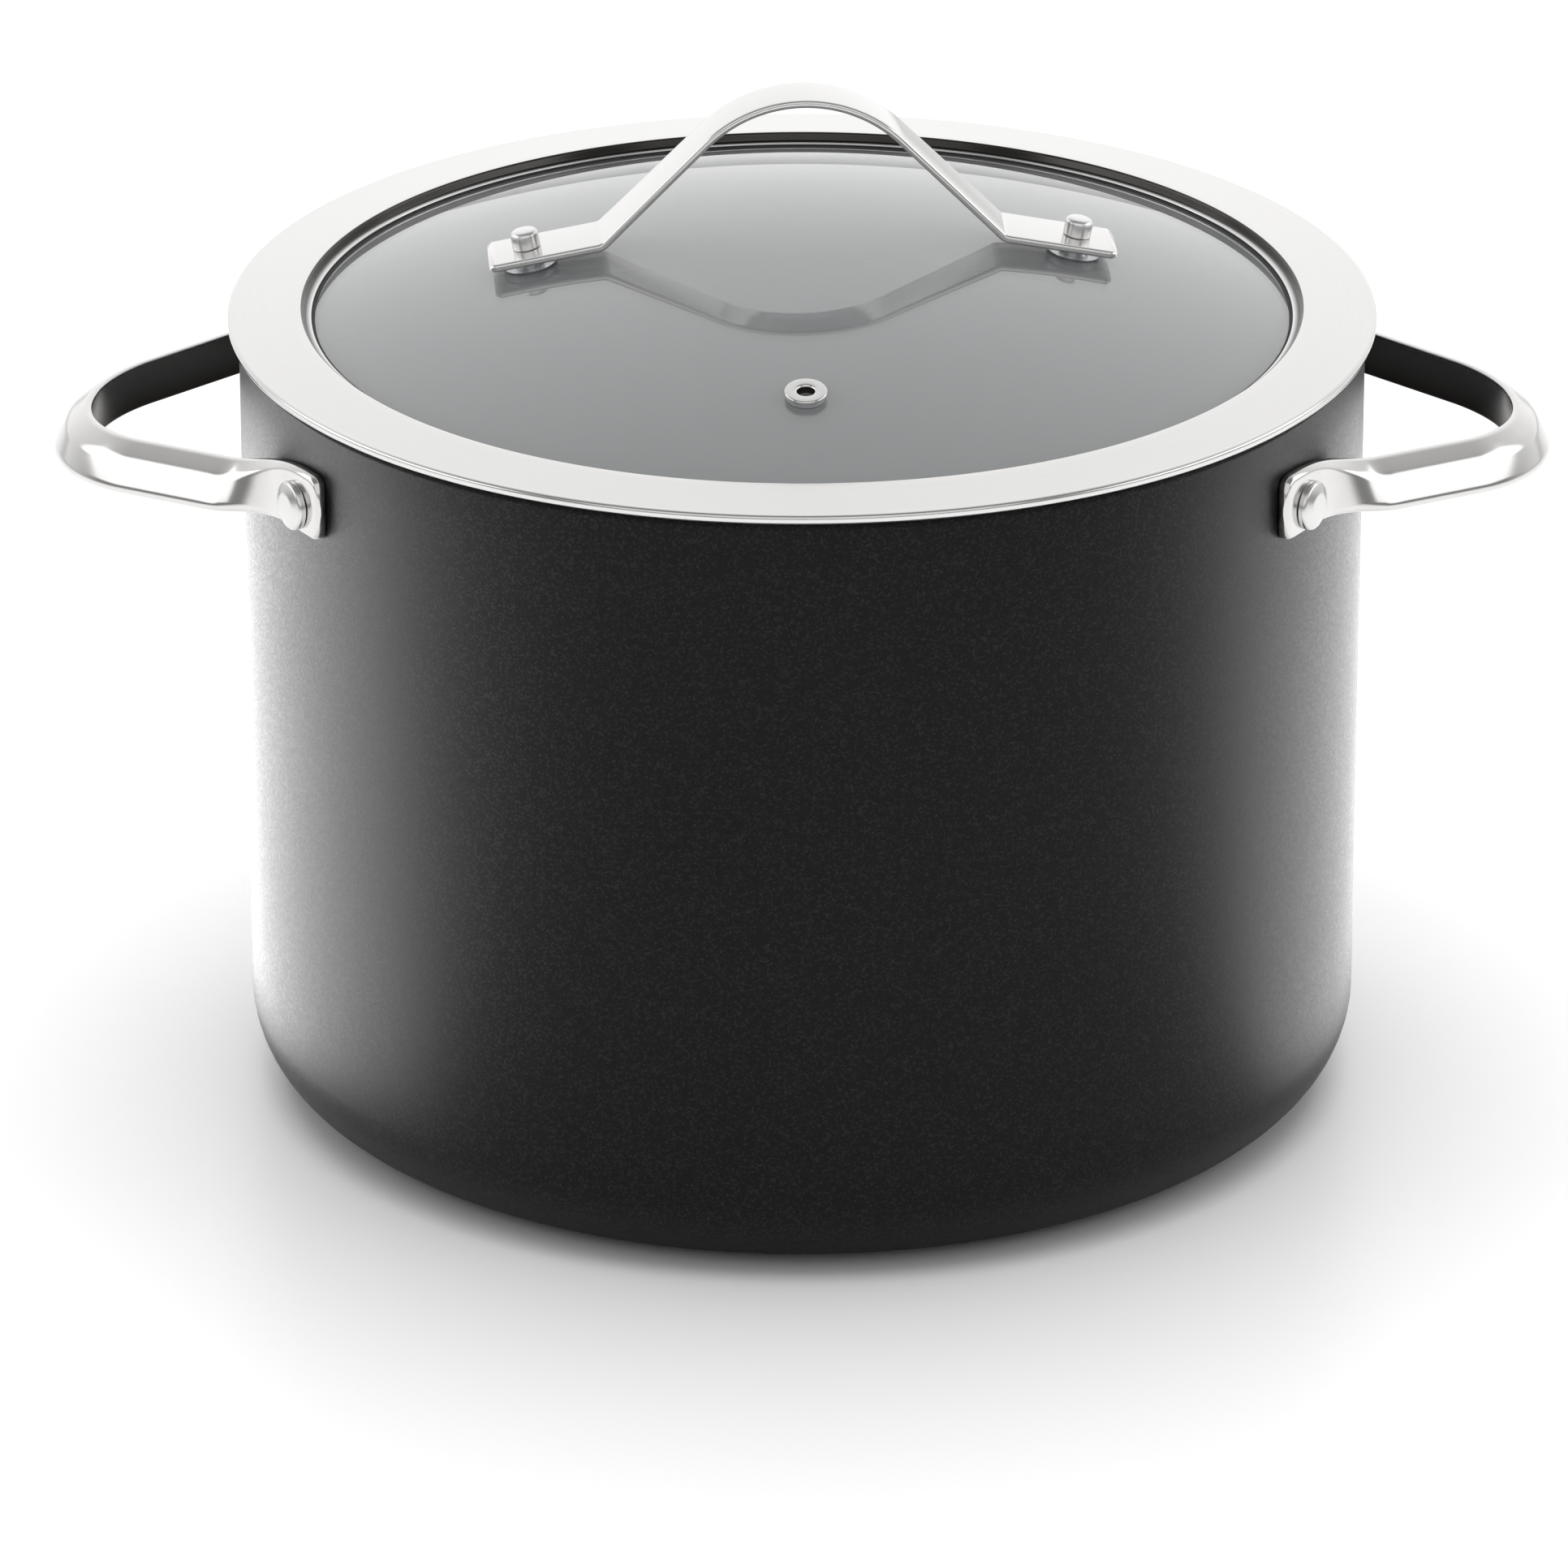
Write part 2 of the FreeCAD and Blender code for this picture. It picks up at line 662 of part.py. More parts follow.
half_wide, half_waist = d.strap_wide / 2, d.strap_waist / 2
waist_drop = half_wide - half_waist
waist_bow = (d.strap_waist_reach * d.strap_waist_reach + waist_drop * waist_drop) / (2 * waist_drop)
end_bow = (half_wide * half_wide + d.strap_end_bow * d.strap_end_bow) / (2 * d.strap_end_bow)
end_root = d.strap_reach - d.strap_end_bow
plan = doc.addObject("PartDesign::Body", "strap_plan")
plan_sketch = sketch_on(plan, "XY_Plane")
outline(plan_sketch, [
    (end_root, -half_wide), (end_root, half_wide, end_bow), (d.strap_waist_reach, half_wide),
    (-d.strap_waist_reach, half_wide, -waist_bow), (-end_root, half_wide), (-end_root, -half_wide, end_bow),
    (-d.strap_waist_reach, -half_wide), (d.strap_waist_reach, -half_wide, -waist_bow)])
plan_pad = plan.newObject("PartDesign::Pad", "strap_plan_pad")
plan_pad.Profile = plan_sketch
bind(plan_pad, Length=2 * d.arch_top)
doc.recompute()
strap_cut = boolean("Common", "strap_cut", strap, plan)
place(strap_cut, turn=d.lid_turn)
strap_bores = []
for side, turn in stud_turns.items():
    bore = peg(f"strap_bore_{side}", d.stud_shank + d.shank_gap, 0, 5 * d.strap_thick)
    place_on_dome(bore, d.stud_reach, turn)
    strap_bores.append(bore)
node(boolean("Cut", "lid_handle", strap_cut, group("strap_bores", strap_bores)), "lid_handle")


# Studs, washers and cap nuts that clamp the strap through the glass.

head_seat = d.washer_thick + d.strap_thick + 3 * d.fixed_gap
lower_seat = -(d.glass_thick + 2 * d.fixed_gap)
nut_seat = lower_seat - d.lower_washer_thick - d.fixed_gap
for side, turn in stud_turns.items():
    shank_end = nut_seat - d.nut_depth
    stud = turned(f"lid_stud_{side}", [
        (0, shank_end), (d.stud_shank, shank_end), (d.stud_shank, head_seat), (d.stud_head, head_seat),
        (d.stud_head, head_seat + d.stud_head_depth), (0, head_seat + d.stud_head_depth)])
    round_rings(stud, [(d.stud_head, head_seat + d.stud_head_depth)], d.stud_round)
    washer_bore = d.stud_shank + d.shank_gap
    upper_top = d.fixed_gap + d.washer_thick
    upper = turned(f"upper_washer_{side}", [
        (washer_bore, d.fixed_gap), (d.washer_radius, d.fixed_gap), (d.washer_radius, upper_top),
        (washer_bore, upper_top)])
    round_rings(upper, [(d.washer_radius, upper_top)], d.washer_round)
    lower_end = lower_seat - d.lower_washer_thick
    lower = turned(f"lower_washer_{side}", [
        (washer_bore, lower_seat), (d.washer_radius, lower_seat), (d.washer_radius, lower_end),
        (washer_bore, lower_end)])
    hexagon = doc.addObject("Part::Prism", f"nut_hexagon_{side}")
    hexagon.Polygon = 6
    bind(hexagon, Circumradius=d.nut_radius, Height=d.nut_depth)
    place(hexagon, z=nut_seat - d.nut_depth)
    cap_radius = d.nut_radius * cosine(30) - d.shank_gap
    cap_root = nut_seat - d.nut_depth / 2
    cap_end = nut_seat - d.nut_depth - d.nut_cap
    cap = turned(f"nut_cap_{side}", [
        (0, cap_end), (cap_radius, cap_end), (cap_radius, cap_root), (0, cap_root)])
    round_rings(cap, [(cap_radius, cap_end)], d.nut_cap_round)
    bored = peg(f"nut_bore_{side}", d.stud_shank + d.fixed_gap,
                nut_seat - d.nut_depth - d.shank_gap, nut_seat + d.nut_bore_over)
    nut = boolean("Cut", f"stud_nut_{side}", boolean("Fuse", f"nut_solid_{side}", hexagon, cap), bored)
    fasteners = {"lid_stud": stud, "upper_washer": upper, "lower_washer": lower, "stud_nut": nut}
    for label, piece in fasteners.items():
        place_on_dome(piece, d.stud_reach, turn)
        node(piece, f"{label}_{side}")


# Steam vent: a flanged eyelet clinched through a soft grommet.

eyelet_end = -(d.glass_thick + d.grommet_lip + 4 * d.fixed_gap)
flange_top = d.vent_lift + d.vent_flange_thick
eyelet = turned("vent_eyelet", [
    (d.vent_bore, flange_top), (d.vent_bore, eyelet_end - d.vent_flange_thick),
    (d.vent_curl, eyelet_end - d.vent_flange_thick), (d.vent_curl, eyelet_end), (d.vent_neck, eyelet_end),
    (d.vent_neck, d.vent_lift), (d.vent_flange, d.vent_lift), (d.vent_flange, flange_top)])
round_rings(eyelet, [(d.vent_flange, flange_top), (d.vent_bore, flange_top)], d.vent_round)
grommet_bore = d.vent_neck + d.fixed_gap
lip_low = -(d.glass_thick + 3 * d.fixed_gap)
grommet = turned("vent_grommet", [
    (grommet_bore, lip_low - d.grommet_lip), (d.grommet_radius, lip_low - d.grommet_lip),
    (d.grommet_radius, lip_low), (d.grommet_sleeve, lip_low), (d.grommet_sleeve, d.fixed_gap),
    (d.grommet_radius, d.fixed_gap), (d.grommet_radius, d.grommet_lip), (grommet_bore, d.grommet_lip)])
round_rings(grommet, [(d.grommet_radius, d.grommet_lip)], d.grommet_round)
for piece in (eyelet, grommet):
    place_on_dome(piece, d.vent_reach, d.vent_turn)
    node(piece, piece.Label)


# Jar rack: hoop, inner ring, cross wires laid on both, legs under the wires, and eyes for the handles.

def ring(label, ring_radius, wire_radius):
    piece = doc.addObject("Part::Torus", label)
    bind(piece, Radius1=ring_radius, Radius2=wire_radius)
    return piece


for label, radius in (("rack_hoop", d.hoop_radius), ("rack_inner_ring", d.inner_ring_radius)):
    piece = ring(label, radius, d.wire)
    place(piece, z=d.hoop_level)
    node(piece, label)

cross_level = d.hoop_level + d.wire + d.fixed_gap + d.cross_wire
cross_wires = []
for index in range(CROSS_WIRES):
    offset = d.cross_pitch * (index - (CROSS_WIRES - 1) / 2)
    half_length = root(d.hoop_radius * d.hoop_radius - offset * offset) + d.cross_wire
    cross = peg(f"cross_wire_{index}", d.cross_wire, -half_length, half_length)
    place(cross, x=offset, z=cross_level, turn=90, tilt=90)
    cross_wires.append(cross)
node(group("rack_cross_wires", cross_wires), "rack_cross_wires")

leg_top = cross_level - d.cross_wire - d.fixed_gap
leg_low = d.pot_floor + d.free_gap + d.wire
legs = []
for index, (across, along) in enumerate(((1, 1), (-1, 1), (-1, -1), (1, -1))):
    leg = wire_piece(f"rack_leg_{index}", "XZ_Plane", [
        (-d.leg_half, leg_top), (-d.leg_half, leg_low + d.leg_bend),
        (d.leg_bend - d.leg_half, leg_low, d.leg_bend),
        (d.leg_half - d.leg_bend, leg_low), (d.leg_half, leg_low + d.leg_bend, d.leg_bend),
        (d.leg_half, leg_top)], d.wire, "XY_Plane", leg_top)
    place(leg, x=across * d.leg_x, y=along * d.leg_y)
    legs.append(leg)
node(group("rack_feet", legs), "rack_feet")

for side, side_turn in SIDES.items():
    eyes = []
    for end, along in ENDS.items():
        eye = ring(f"rack_eye_{side}_{end}", d.eye_ring, d.eye_wire)
        across = d.hinge_x if side == "right" else -d.hinge_x
        place(eye, x=across, y=along * d.eye_y, z=d.hinge_level, turn=90, tilt=90)
        eyes.append(eye)
    node(group(f"rack_eyes_{side}", eyes), f"rack_eyes_{side}")
    far, near = d.bail_length - d.bail_corner, d.bail_arm - d.bail_corner
    bail = wire_piece(f"rack_handle_{side}", "XY_Plane", [
        (0, d.bail_tip), (0, d.bail_arm + d.bail_elbow), (-d.bail_elbow, d.bail_arm, -d.bail_elbow),
        (-far, d.bail_arm), (-d.bail_length, near, d.bail_corner), (-d.bail_length, -near),
        (-far, -d.bail_arm, d.bail_corner), (-d.bail_elbow, -d.bail_arm),
        (0, -(d.bail_arm + d.bail_elbow), -d.bail_elbow), (0, -d.bail_tip)],
        d.wire, "XZ_Plane", -d.bail_tip)
    place(bail, x=across, z=d.hinge_level, turn=side_turn)
    node(bail, f"rack_handle_{side}")


# Check the whole document, then write each piece.

doc.recompute()
failed = [piece.Name for piece in doc.Objects if {"Invalid", "Error"} & set(piece.State)]
if failed:
    raise RuntimeError(f"objects that failed to compute: {failed}")
for piece in nodes:
    shape = piece.Shape
    if shape.isNull() or not shape.isValid() or not shape.Solids or shape.Volume <= 0:
        raise RuntimeError(f"{piece.Label} has no valid solid")

os.makedirs("parts", exist_ok=True)
for piece in nodes:
    piece.Shape.exportStep(f"parts/{piece.Label}.step")
    box = piece.Shape.BoundBox
    print(f"{piece.Label:28s} solids {len(piece.Shape.Solids)}  volume {piece.Shape.Volume:10.1f}  "
          f"x {box.XMin:7.1f} {box.XMax:7.1f}  y {box.YMin:7.1f} {box.YMax:7.1f}  "
          f"z {box.ZMin:6.1f} {box.ZMax:6.1f}")
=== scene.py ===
"""Looks of a water bath canner: a deep dark pot, its glass lid and the jar rack inside.

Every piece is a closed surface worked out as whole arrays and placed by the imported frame.
Metres, +Z up, +X towards the right side handle, front at -Y.
"""
import logging
import math
from dataclasses import dataclass, field
from enum import Enum
from typing import Any, Callable, Dict, List, Optional, Sequence, Tuple, Union

import bpy
import numpy as np
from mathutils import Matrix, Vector

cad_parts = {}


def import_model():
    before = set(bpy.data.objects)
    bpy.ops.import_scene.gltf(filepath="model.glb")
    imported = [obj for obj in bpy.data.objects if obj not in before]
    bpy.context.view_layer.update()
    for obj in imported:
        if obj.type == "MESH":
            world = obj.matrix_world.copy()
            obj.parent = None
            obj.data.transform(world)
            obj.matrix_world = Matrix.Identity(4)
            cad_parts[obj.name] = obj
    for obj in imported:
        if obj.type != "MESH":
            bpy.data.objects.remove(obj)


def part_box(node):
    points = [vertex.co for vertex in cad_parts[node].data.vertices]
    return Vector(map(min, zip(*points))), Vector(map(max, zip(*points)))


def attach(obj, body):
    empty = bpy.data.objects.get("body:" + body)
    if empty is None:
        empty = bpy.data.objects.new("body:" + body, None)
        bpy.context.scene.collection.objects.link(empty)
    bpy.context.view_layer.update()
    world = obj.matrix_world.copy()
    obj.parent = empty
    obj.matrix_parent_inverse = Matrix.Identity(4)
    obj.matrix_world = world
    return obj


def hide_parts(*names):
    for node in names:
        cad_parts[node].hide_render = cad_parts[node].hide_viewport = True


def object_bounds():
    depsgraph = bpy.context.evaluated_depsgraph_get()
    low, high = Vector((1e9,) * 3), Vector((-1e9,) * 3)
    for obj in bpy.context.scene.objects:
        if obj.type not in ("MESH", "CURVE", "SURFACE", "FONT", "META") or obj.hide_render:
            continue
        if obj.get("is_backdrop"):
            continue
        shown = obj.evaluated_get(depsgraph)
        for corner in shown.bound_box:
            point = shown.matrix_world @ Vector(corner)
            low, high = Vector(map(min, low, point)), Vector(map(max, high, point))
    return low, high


LOG = logging.getLogger("canner")
Array = np.ndarray
Pair = Tuple[float, float]
MM = 0.001
SAME_SPOT = 1e-7  # points nearer than this are one
GAP = 0.05 * MM  # between pieces that touch


# ---------------------------------------------------------------- surfaces

def weld(points: Array, faces: Array) -> Tuple[Array, List[List[int]]]:
    """Merge vertices that lie together, so that seams and poles are closed.

    Args:
        points: vertices, (n, 3).
        faces: four vertex numbers a face, (m, 4).

    Returns:
        The kept vertices, and the faces with repeated corners dropped.
    """
    keys = np.round(points / SAME_SPOT).astype(np.int64)
    _, first, number = np.unique(keys, axis=0, return_index=True, return_inverse=True)
    corners = number.reshape(-1)[faces]
    repeated = corners == np.roll(corners, -1, axis=1)
    quads = corners[~repeated.any(axis=1)].tolist()
    single = repeated.sum(axis=1) == 1
    triangles = corners[single][~repeated[single]].reshape(-1, 3).tolist()
    return points[first], quads + triangles


def grid_faces(rows: int, columns: int, close_rows: bool) -> Array:
    """Faces between neighbouring rows and columns of a grid of points, whose rows are closed loops.

    Args:
        rows: number of rows of points.
        columns: number of points in a row.
        close_rows: whether the last row joins the first.

    Returns:
        Four vertex numbers a face, (m, 4).
    """
    row = np.arange(rows if close_rows else rows - 1)[:, None]
    column = np.arange(columns)[None, :]
    next_row, next_column = (row + 1) % rows, (column + 1) % columns
    corners = [row * columns + column, row * columns + next_column,
               next_row * columns + next_column, next_row * columns + column]
    return np.stack([np.broadcast_to(c, (row.size, column.size)) for c in corners], axis=-1).reshape(-1, 4)


def surface(name: str, sheets: Sequence[Array], close_rows: bool = False,
            crease: float = 40.0) -> bpy.types.Object:
    """Make a mesh object from grids of points, each one a closed skin facing outwards.

    Args:
        name: name of the piece.
        sheets: grids of points, each (rows, columns, 3), whose rows are closed loops.
        close_rows: whether the last row of a grid joins its first.
        crease: edges that turn by more degrees than this stay sharp.

    Returns:
        The object, at the origin, with its place in its mesh.
    """
    points: List[Array] = []
    faces: List[List[int]] = []
    for grid in sheets:
        rows, columns = grid.shape[:2]
        kept, corners = weld(grid.reshape(-1, 3), grid_faces(rows, columns, close_rows))
        offset = sum(len(part) for part in points)
        if enclosed_volume(kept, corners) < 0:
            corners = [face[::-1] for face in corners]
        faces += [[number + offset for number in face] for face in corners]
        points.append(kept)
    mesh = bpy.data.meshes.new(name)
    mesh.from_pydata(np.concatenate(points).tolist(), [], faces)
    mesh.update()
    mesh.polygons.foreach_set("use_smooth", np.ones(len(mesh.polygons), dtype=bool))
    mesh.set_sharp_from_angle(angle=math.radians(crease))
    piece = bpy.data.objects.new(name, mesh)
    bpy.context.scene.collection.objects.link(piece)
    return piece


def spots_of(piece: bpy.types.Object) -> Array:
    """Where each point of a piece's mesh is, (n, 3)."""
    return np.array([vertex.co for vertex in piece.data.vertices])


def carry(piece: bpy.types.Object, name: str, values: Array) -> None:
    """Keep a value at each point of a piece's mesh, for its finish to read."""
    piece.data.attributes.new(name, "FLOAT", "POINT").data.foreach_set("value", values.astype(np.float32))


def enclosed_volume(points: Array, faces: Sequence[Sequence[int]]) -> float:
    """Signed volume inside a closed skin: the sum of a . (b x c) / 6 over fans of triangles."""
    total = 0.0
    for size in (3, 4):
        chosen = np.array([face for face in faces if len(face) == size])
        if not len(chosen):
            continue
        a = points[chosen[:, 0]]
        for step in range(1, size - 1):
            b, c = points[chosen[:, step]], points[chosen[:, step + 1]]
            total += float(np.einsum("ij,ij->", a, np.cross(b, c))) / 6
    return total


def rounded(corners: Sequence[Sequence[float]], steps: int = 8, closed: bool = True) -> Array:
    """A chain of straight runs whose corners are true arcs.

    At a corner that turns by an angle t, the arc of radius r starts r * tan(t / 2) before it and
    its points are centre + r * (cos, sin) of angles spread evenly over the turn.

    Args:
        corners: (across, up) or (across, up, radius) of each corner.
        steps: number of pieces in each arc.
        closed: whether the last corner joins the first.

    Returns:
        Points along the chain, (n, 2).
    """
    spots = np.array([corner[:2] for corner in corners], float)
    chain: List[Array] = []
    count = len(corners)
    for index, corner in enumerate(corners):
        radius = corner[2] if len(corner) > 2 else 0.0
        at_end = not closed and index in (0, count - 1)
        if not radius or at_end:
            chain.append(spots[index][None])
            continue
        here = spots[index]
        into = here - spots[index - 1]
        out = spots[(index + 1) % count] - here
        into, out = into / np.linalg.norm(into), out / np.linalg.norm(out)
        turn = math.atan2(into[0] * out[1] - into[1] * out[0], float(into @ out))
        side = math.copysign(1.0, turn)
        start = here - into * radius * math.tan(abs(turn) / 2)
        centre = start + side * radius * np.array([-into[1], into[0]])
        first = math.atan2(*(start - centre)[::-1])
        angles = first + turn * np.linspace(0, 1, steps + 1)
        chain.append(centre + radius * np.stack([np.cos(angles), np.sin(angles)], axis=-1))
    return np.concatenate(chain)


def spread(chain: Array, gap: float, closed: bool = True) -> Array:
    """Add points on the long runs of a chain, so that none is longer than the gap.

    Args:
        chain: points, (n, k).
        gap: longest distance between neighbours.
        closed: whether the last point joins the first.

    Returns:
        The chain with its added points.
    """
    ends = np.roll(chain, -1, axis=0)
    parts = [np.linspace(start, end, max(int(np.ceil(np.linalg.norm(end - start) / gap)), 1), endpoint=False)
             for start, end in zip(chain if closed else chain[:-1], ends)]
    return np.concatenate(parts if closed else parts + [chain[-1:]])


def turned(profile: Array, around: int = 192) -> Array:
    """Surface of revolution: (r, z) of the profile goes to (r cos a, r sin a, z) for a full turn of a.

    Args:
        profile: (radius, height) points, (n, 2).
        around: points in a full turn.

    Returns:
        Grid of points, one row for each profile point, (n, around, 3).
    """
    angle = np.linspace(0, 2 * np.pi, around, endpoint=False)
    radius, height = profile[:, :1], profile[:, 1:]
    return np.stack([radius * np.cos(angle), radius * np.sin(angle), height + 0 * angle], axis=-1)


def moved(points: Array, place: Array) -> Array:
    """Points carried by a 3 by 4 matrix of turn and move: turn @ point + move."""
    return points @ place[:, :3].T + place[:, 3]


def tube(path: Array, radius: float, closed: bool = False, sides: int = 20, cap: int = 5) -> Array:
    """Round wire along a path: each point gets a circle square to the path, and free ends are domed.

    The circle's frame is carried along the path by taking away from the last normal its part along
    the new tangent. A domed end is a row of circles of radius r * cos(b) moved out by r * sin(b).

    Args:
        path: centre line, (n, 3).
        radius: radius of the wire.
        closed: whether the path is a loop.
        sides: points round the wire.
        cap: circles in a domed end.

    Returns:
        Grid of points, (rows, sides, 3).
    """
    ahead = np.roll(path, -1, axis=0) - np.roll(path, 1, axis=0)
    if not closed:
        ahead[0], ahead[-1] = path[1] - path[0], path[-1] - path[-2]
    tangent = ahead / np.linalg.norm(ahead, axis=1, keepdims=True)
    normal = np.empty_like(tangent)
    guide = np.array([0.0, 0.0, 1.0]) if abs(tangent[0, 2]) < 0.9 else np.array([0.0, 1.0, 0.0])
    for index, direction in enumerate(tangent):
        guide = guide - direction * (guide @ direction)
        guide = guide / np.linalg.norm(guide)
        normal[index] = guide
    radii = np.full(len(path), radius)
    if not closed:
        rise = np.linspace(0, np.pi / 2, cap + 1)[1:]
        out, shrink = 0.55 * radius * np.sin(rise), radius * np.cos(rise)
        head = path[0] - tangent[0] * out[::-1, None]
        tail = path[-1] + tangent[-1] * out[:, None]
        path = np.concatenate([head, path, tail])
        radii = np.concatenate([shrink[::-1], radii, shrink])
        tangent = np.concatenate([np.repeat(tangent[:1], cap, 0), tangent, np.repeat(tangent[-1:], cap, 0)])
        normal = np.concatenate([np.repeat(normal[:1], cap, 0), normal, np.repeat(normal[-1:], cap, 0)])
    side = np.cross(tangent, normal)
    angle = np.linspace(0, 2 * np.pi, sides, endpoint=False)[None, :, None]
    ring = np.cos(angle) * normal[:, None] + np.sin(angle) * side[:, None]
    return path[:, None] + radii[:, None, None] * ring


def arc(centre: Array, radius: float, first: float, last: float, step: float) -> Tuple[Array, Array]:
    """Points centre + radius * (cos a, sin a) from one angle to another.

    Args:
        centre: centre of the arc, (2,).
        radius: its radius.
        first: angle of the first point.
        last: angle of the last point.
        step: about how far apart the points are.

    Returns:
        The points (n, 2) and their angles (n,).
    """
    angle = np.linspace(first, last, max(int(abs(last - first) * radius / step), 2) + 1)
    return centre + radius * np.stack([np.cos(angle), np.sin(angle)], axis=-1), angle


def soften(corners: Array, reach: Array, steps: int = 5) -> Array:
    """Round the corners of many outlines at once.

    A corner P with neighbours A and B becomes the curve (1-t)^2 a + 2 t (1-t) P + t^2 b, where a and
    b lie on its two sides at the corner's reach, or at 0.45 of the side if that is less.

    Args:
        corners: outlines, (n, k, 2).
        reach: how far from each corner its curve starts, (n, k).
        steps: pieces in each curve.

    Returns:
        Rounded outlines, (n, k * (steps + 1), 2).
    """
    shares = []
    for neighbour in (np.roll(corners, 1, axis=1), np.roll(corners, -1, axis=1)):
        side = neighbour - corners
        length = np.maximum(np.linalg.norm(side, axis=-1), 1e-9)
        shares.append(corners + side * np.minimum(reach / length, 0.45)[..., None])
    t = np.linspace(0, 1, steps + 1)[None, None, :, None]
    before, after = shares[0][:, :, None], shares[1][:, :, None]
    curve = (1 - t) ** 2 * before + 2 * t * (1 - t) * corners[:, :, None] + t ** 2 * after
    return curve.reshape(len(corners), -1, 2)


def capped(skin: Array) -> Array:
    """A grid of rings with each end closed at its last ring's middle."""
    head, tail = skin[:1], skin[-1:]
    return np.concatenate([0 * head + head.mean(axis=1, keepdims=True), skin,
                           0 * tail + tail.mean(axis=1, keepdims=True)])


def drawn_in(from_end: Array, radius: float) -> Array:
    """How far a rounded end draws in, r - sqrt(r^2 - (r - x)^2), at a distance x from it."""
    return radius - np.sqrt(np.maximum(radius ** 2 - np.maximum(radius - from_end, 0) ** 2, 0))


def circle(radius: float, step: float) -> Array:
    """Points of a full circle about the origin, (n, 2)."""
    return arc(np.zeros(2), radius, 0.0, 2 * math.pi, step)[0][:-1]


def smooth(value: Array, start: float, end: float) -> Array:
    """Smooth step 3 t^2 - 2 t^3 of the share t from start to end."""
    share = np.clip((value - start) / (end - start), 0, 1)
    return share * share * (3 - 2 * share)


# ---------------------------------------------------------------- shader maths

Value = Union["Socket", float]
Link = Union["Socket", float, Sequence[float]]


def arithmetic(operation: str, flipped: bool = False) -> Callable[["Socket", Value], "Socket"]:
    """Make the method of one arithmetic sign.

    Args:
        operation: Blender's name of it.
        flipped: whether the socket stands on the sign's right.

    Returns:
        The method.
    """
    def method(self: "Socket", other: Value) -> "Socket":
        """A Math node on this value and another."""
        return self.graph.math(operation, *((other, self) if flipped else (self, other)))
    return method


@dataclass(frozen=True)
class Socket:
    """One output of a shader node, with the arithmetic of numbers."""

    graph: "Graph"
    output: Any

    def math(self, operation: str, *others: Value) -> "Socket":
        """A Math node on this value and others."""
        return self.graph.math(operation, self, *others)

    __add__ = arithmetic("ADD")
    __radd__ = arithmetic("ADD")
    __rsub__ = arithmetic("SUBTRACT", flipped=True)
    __mul__ = arithmetic("MULTIPLY")
    __pow__ = arithmetic("POWER")


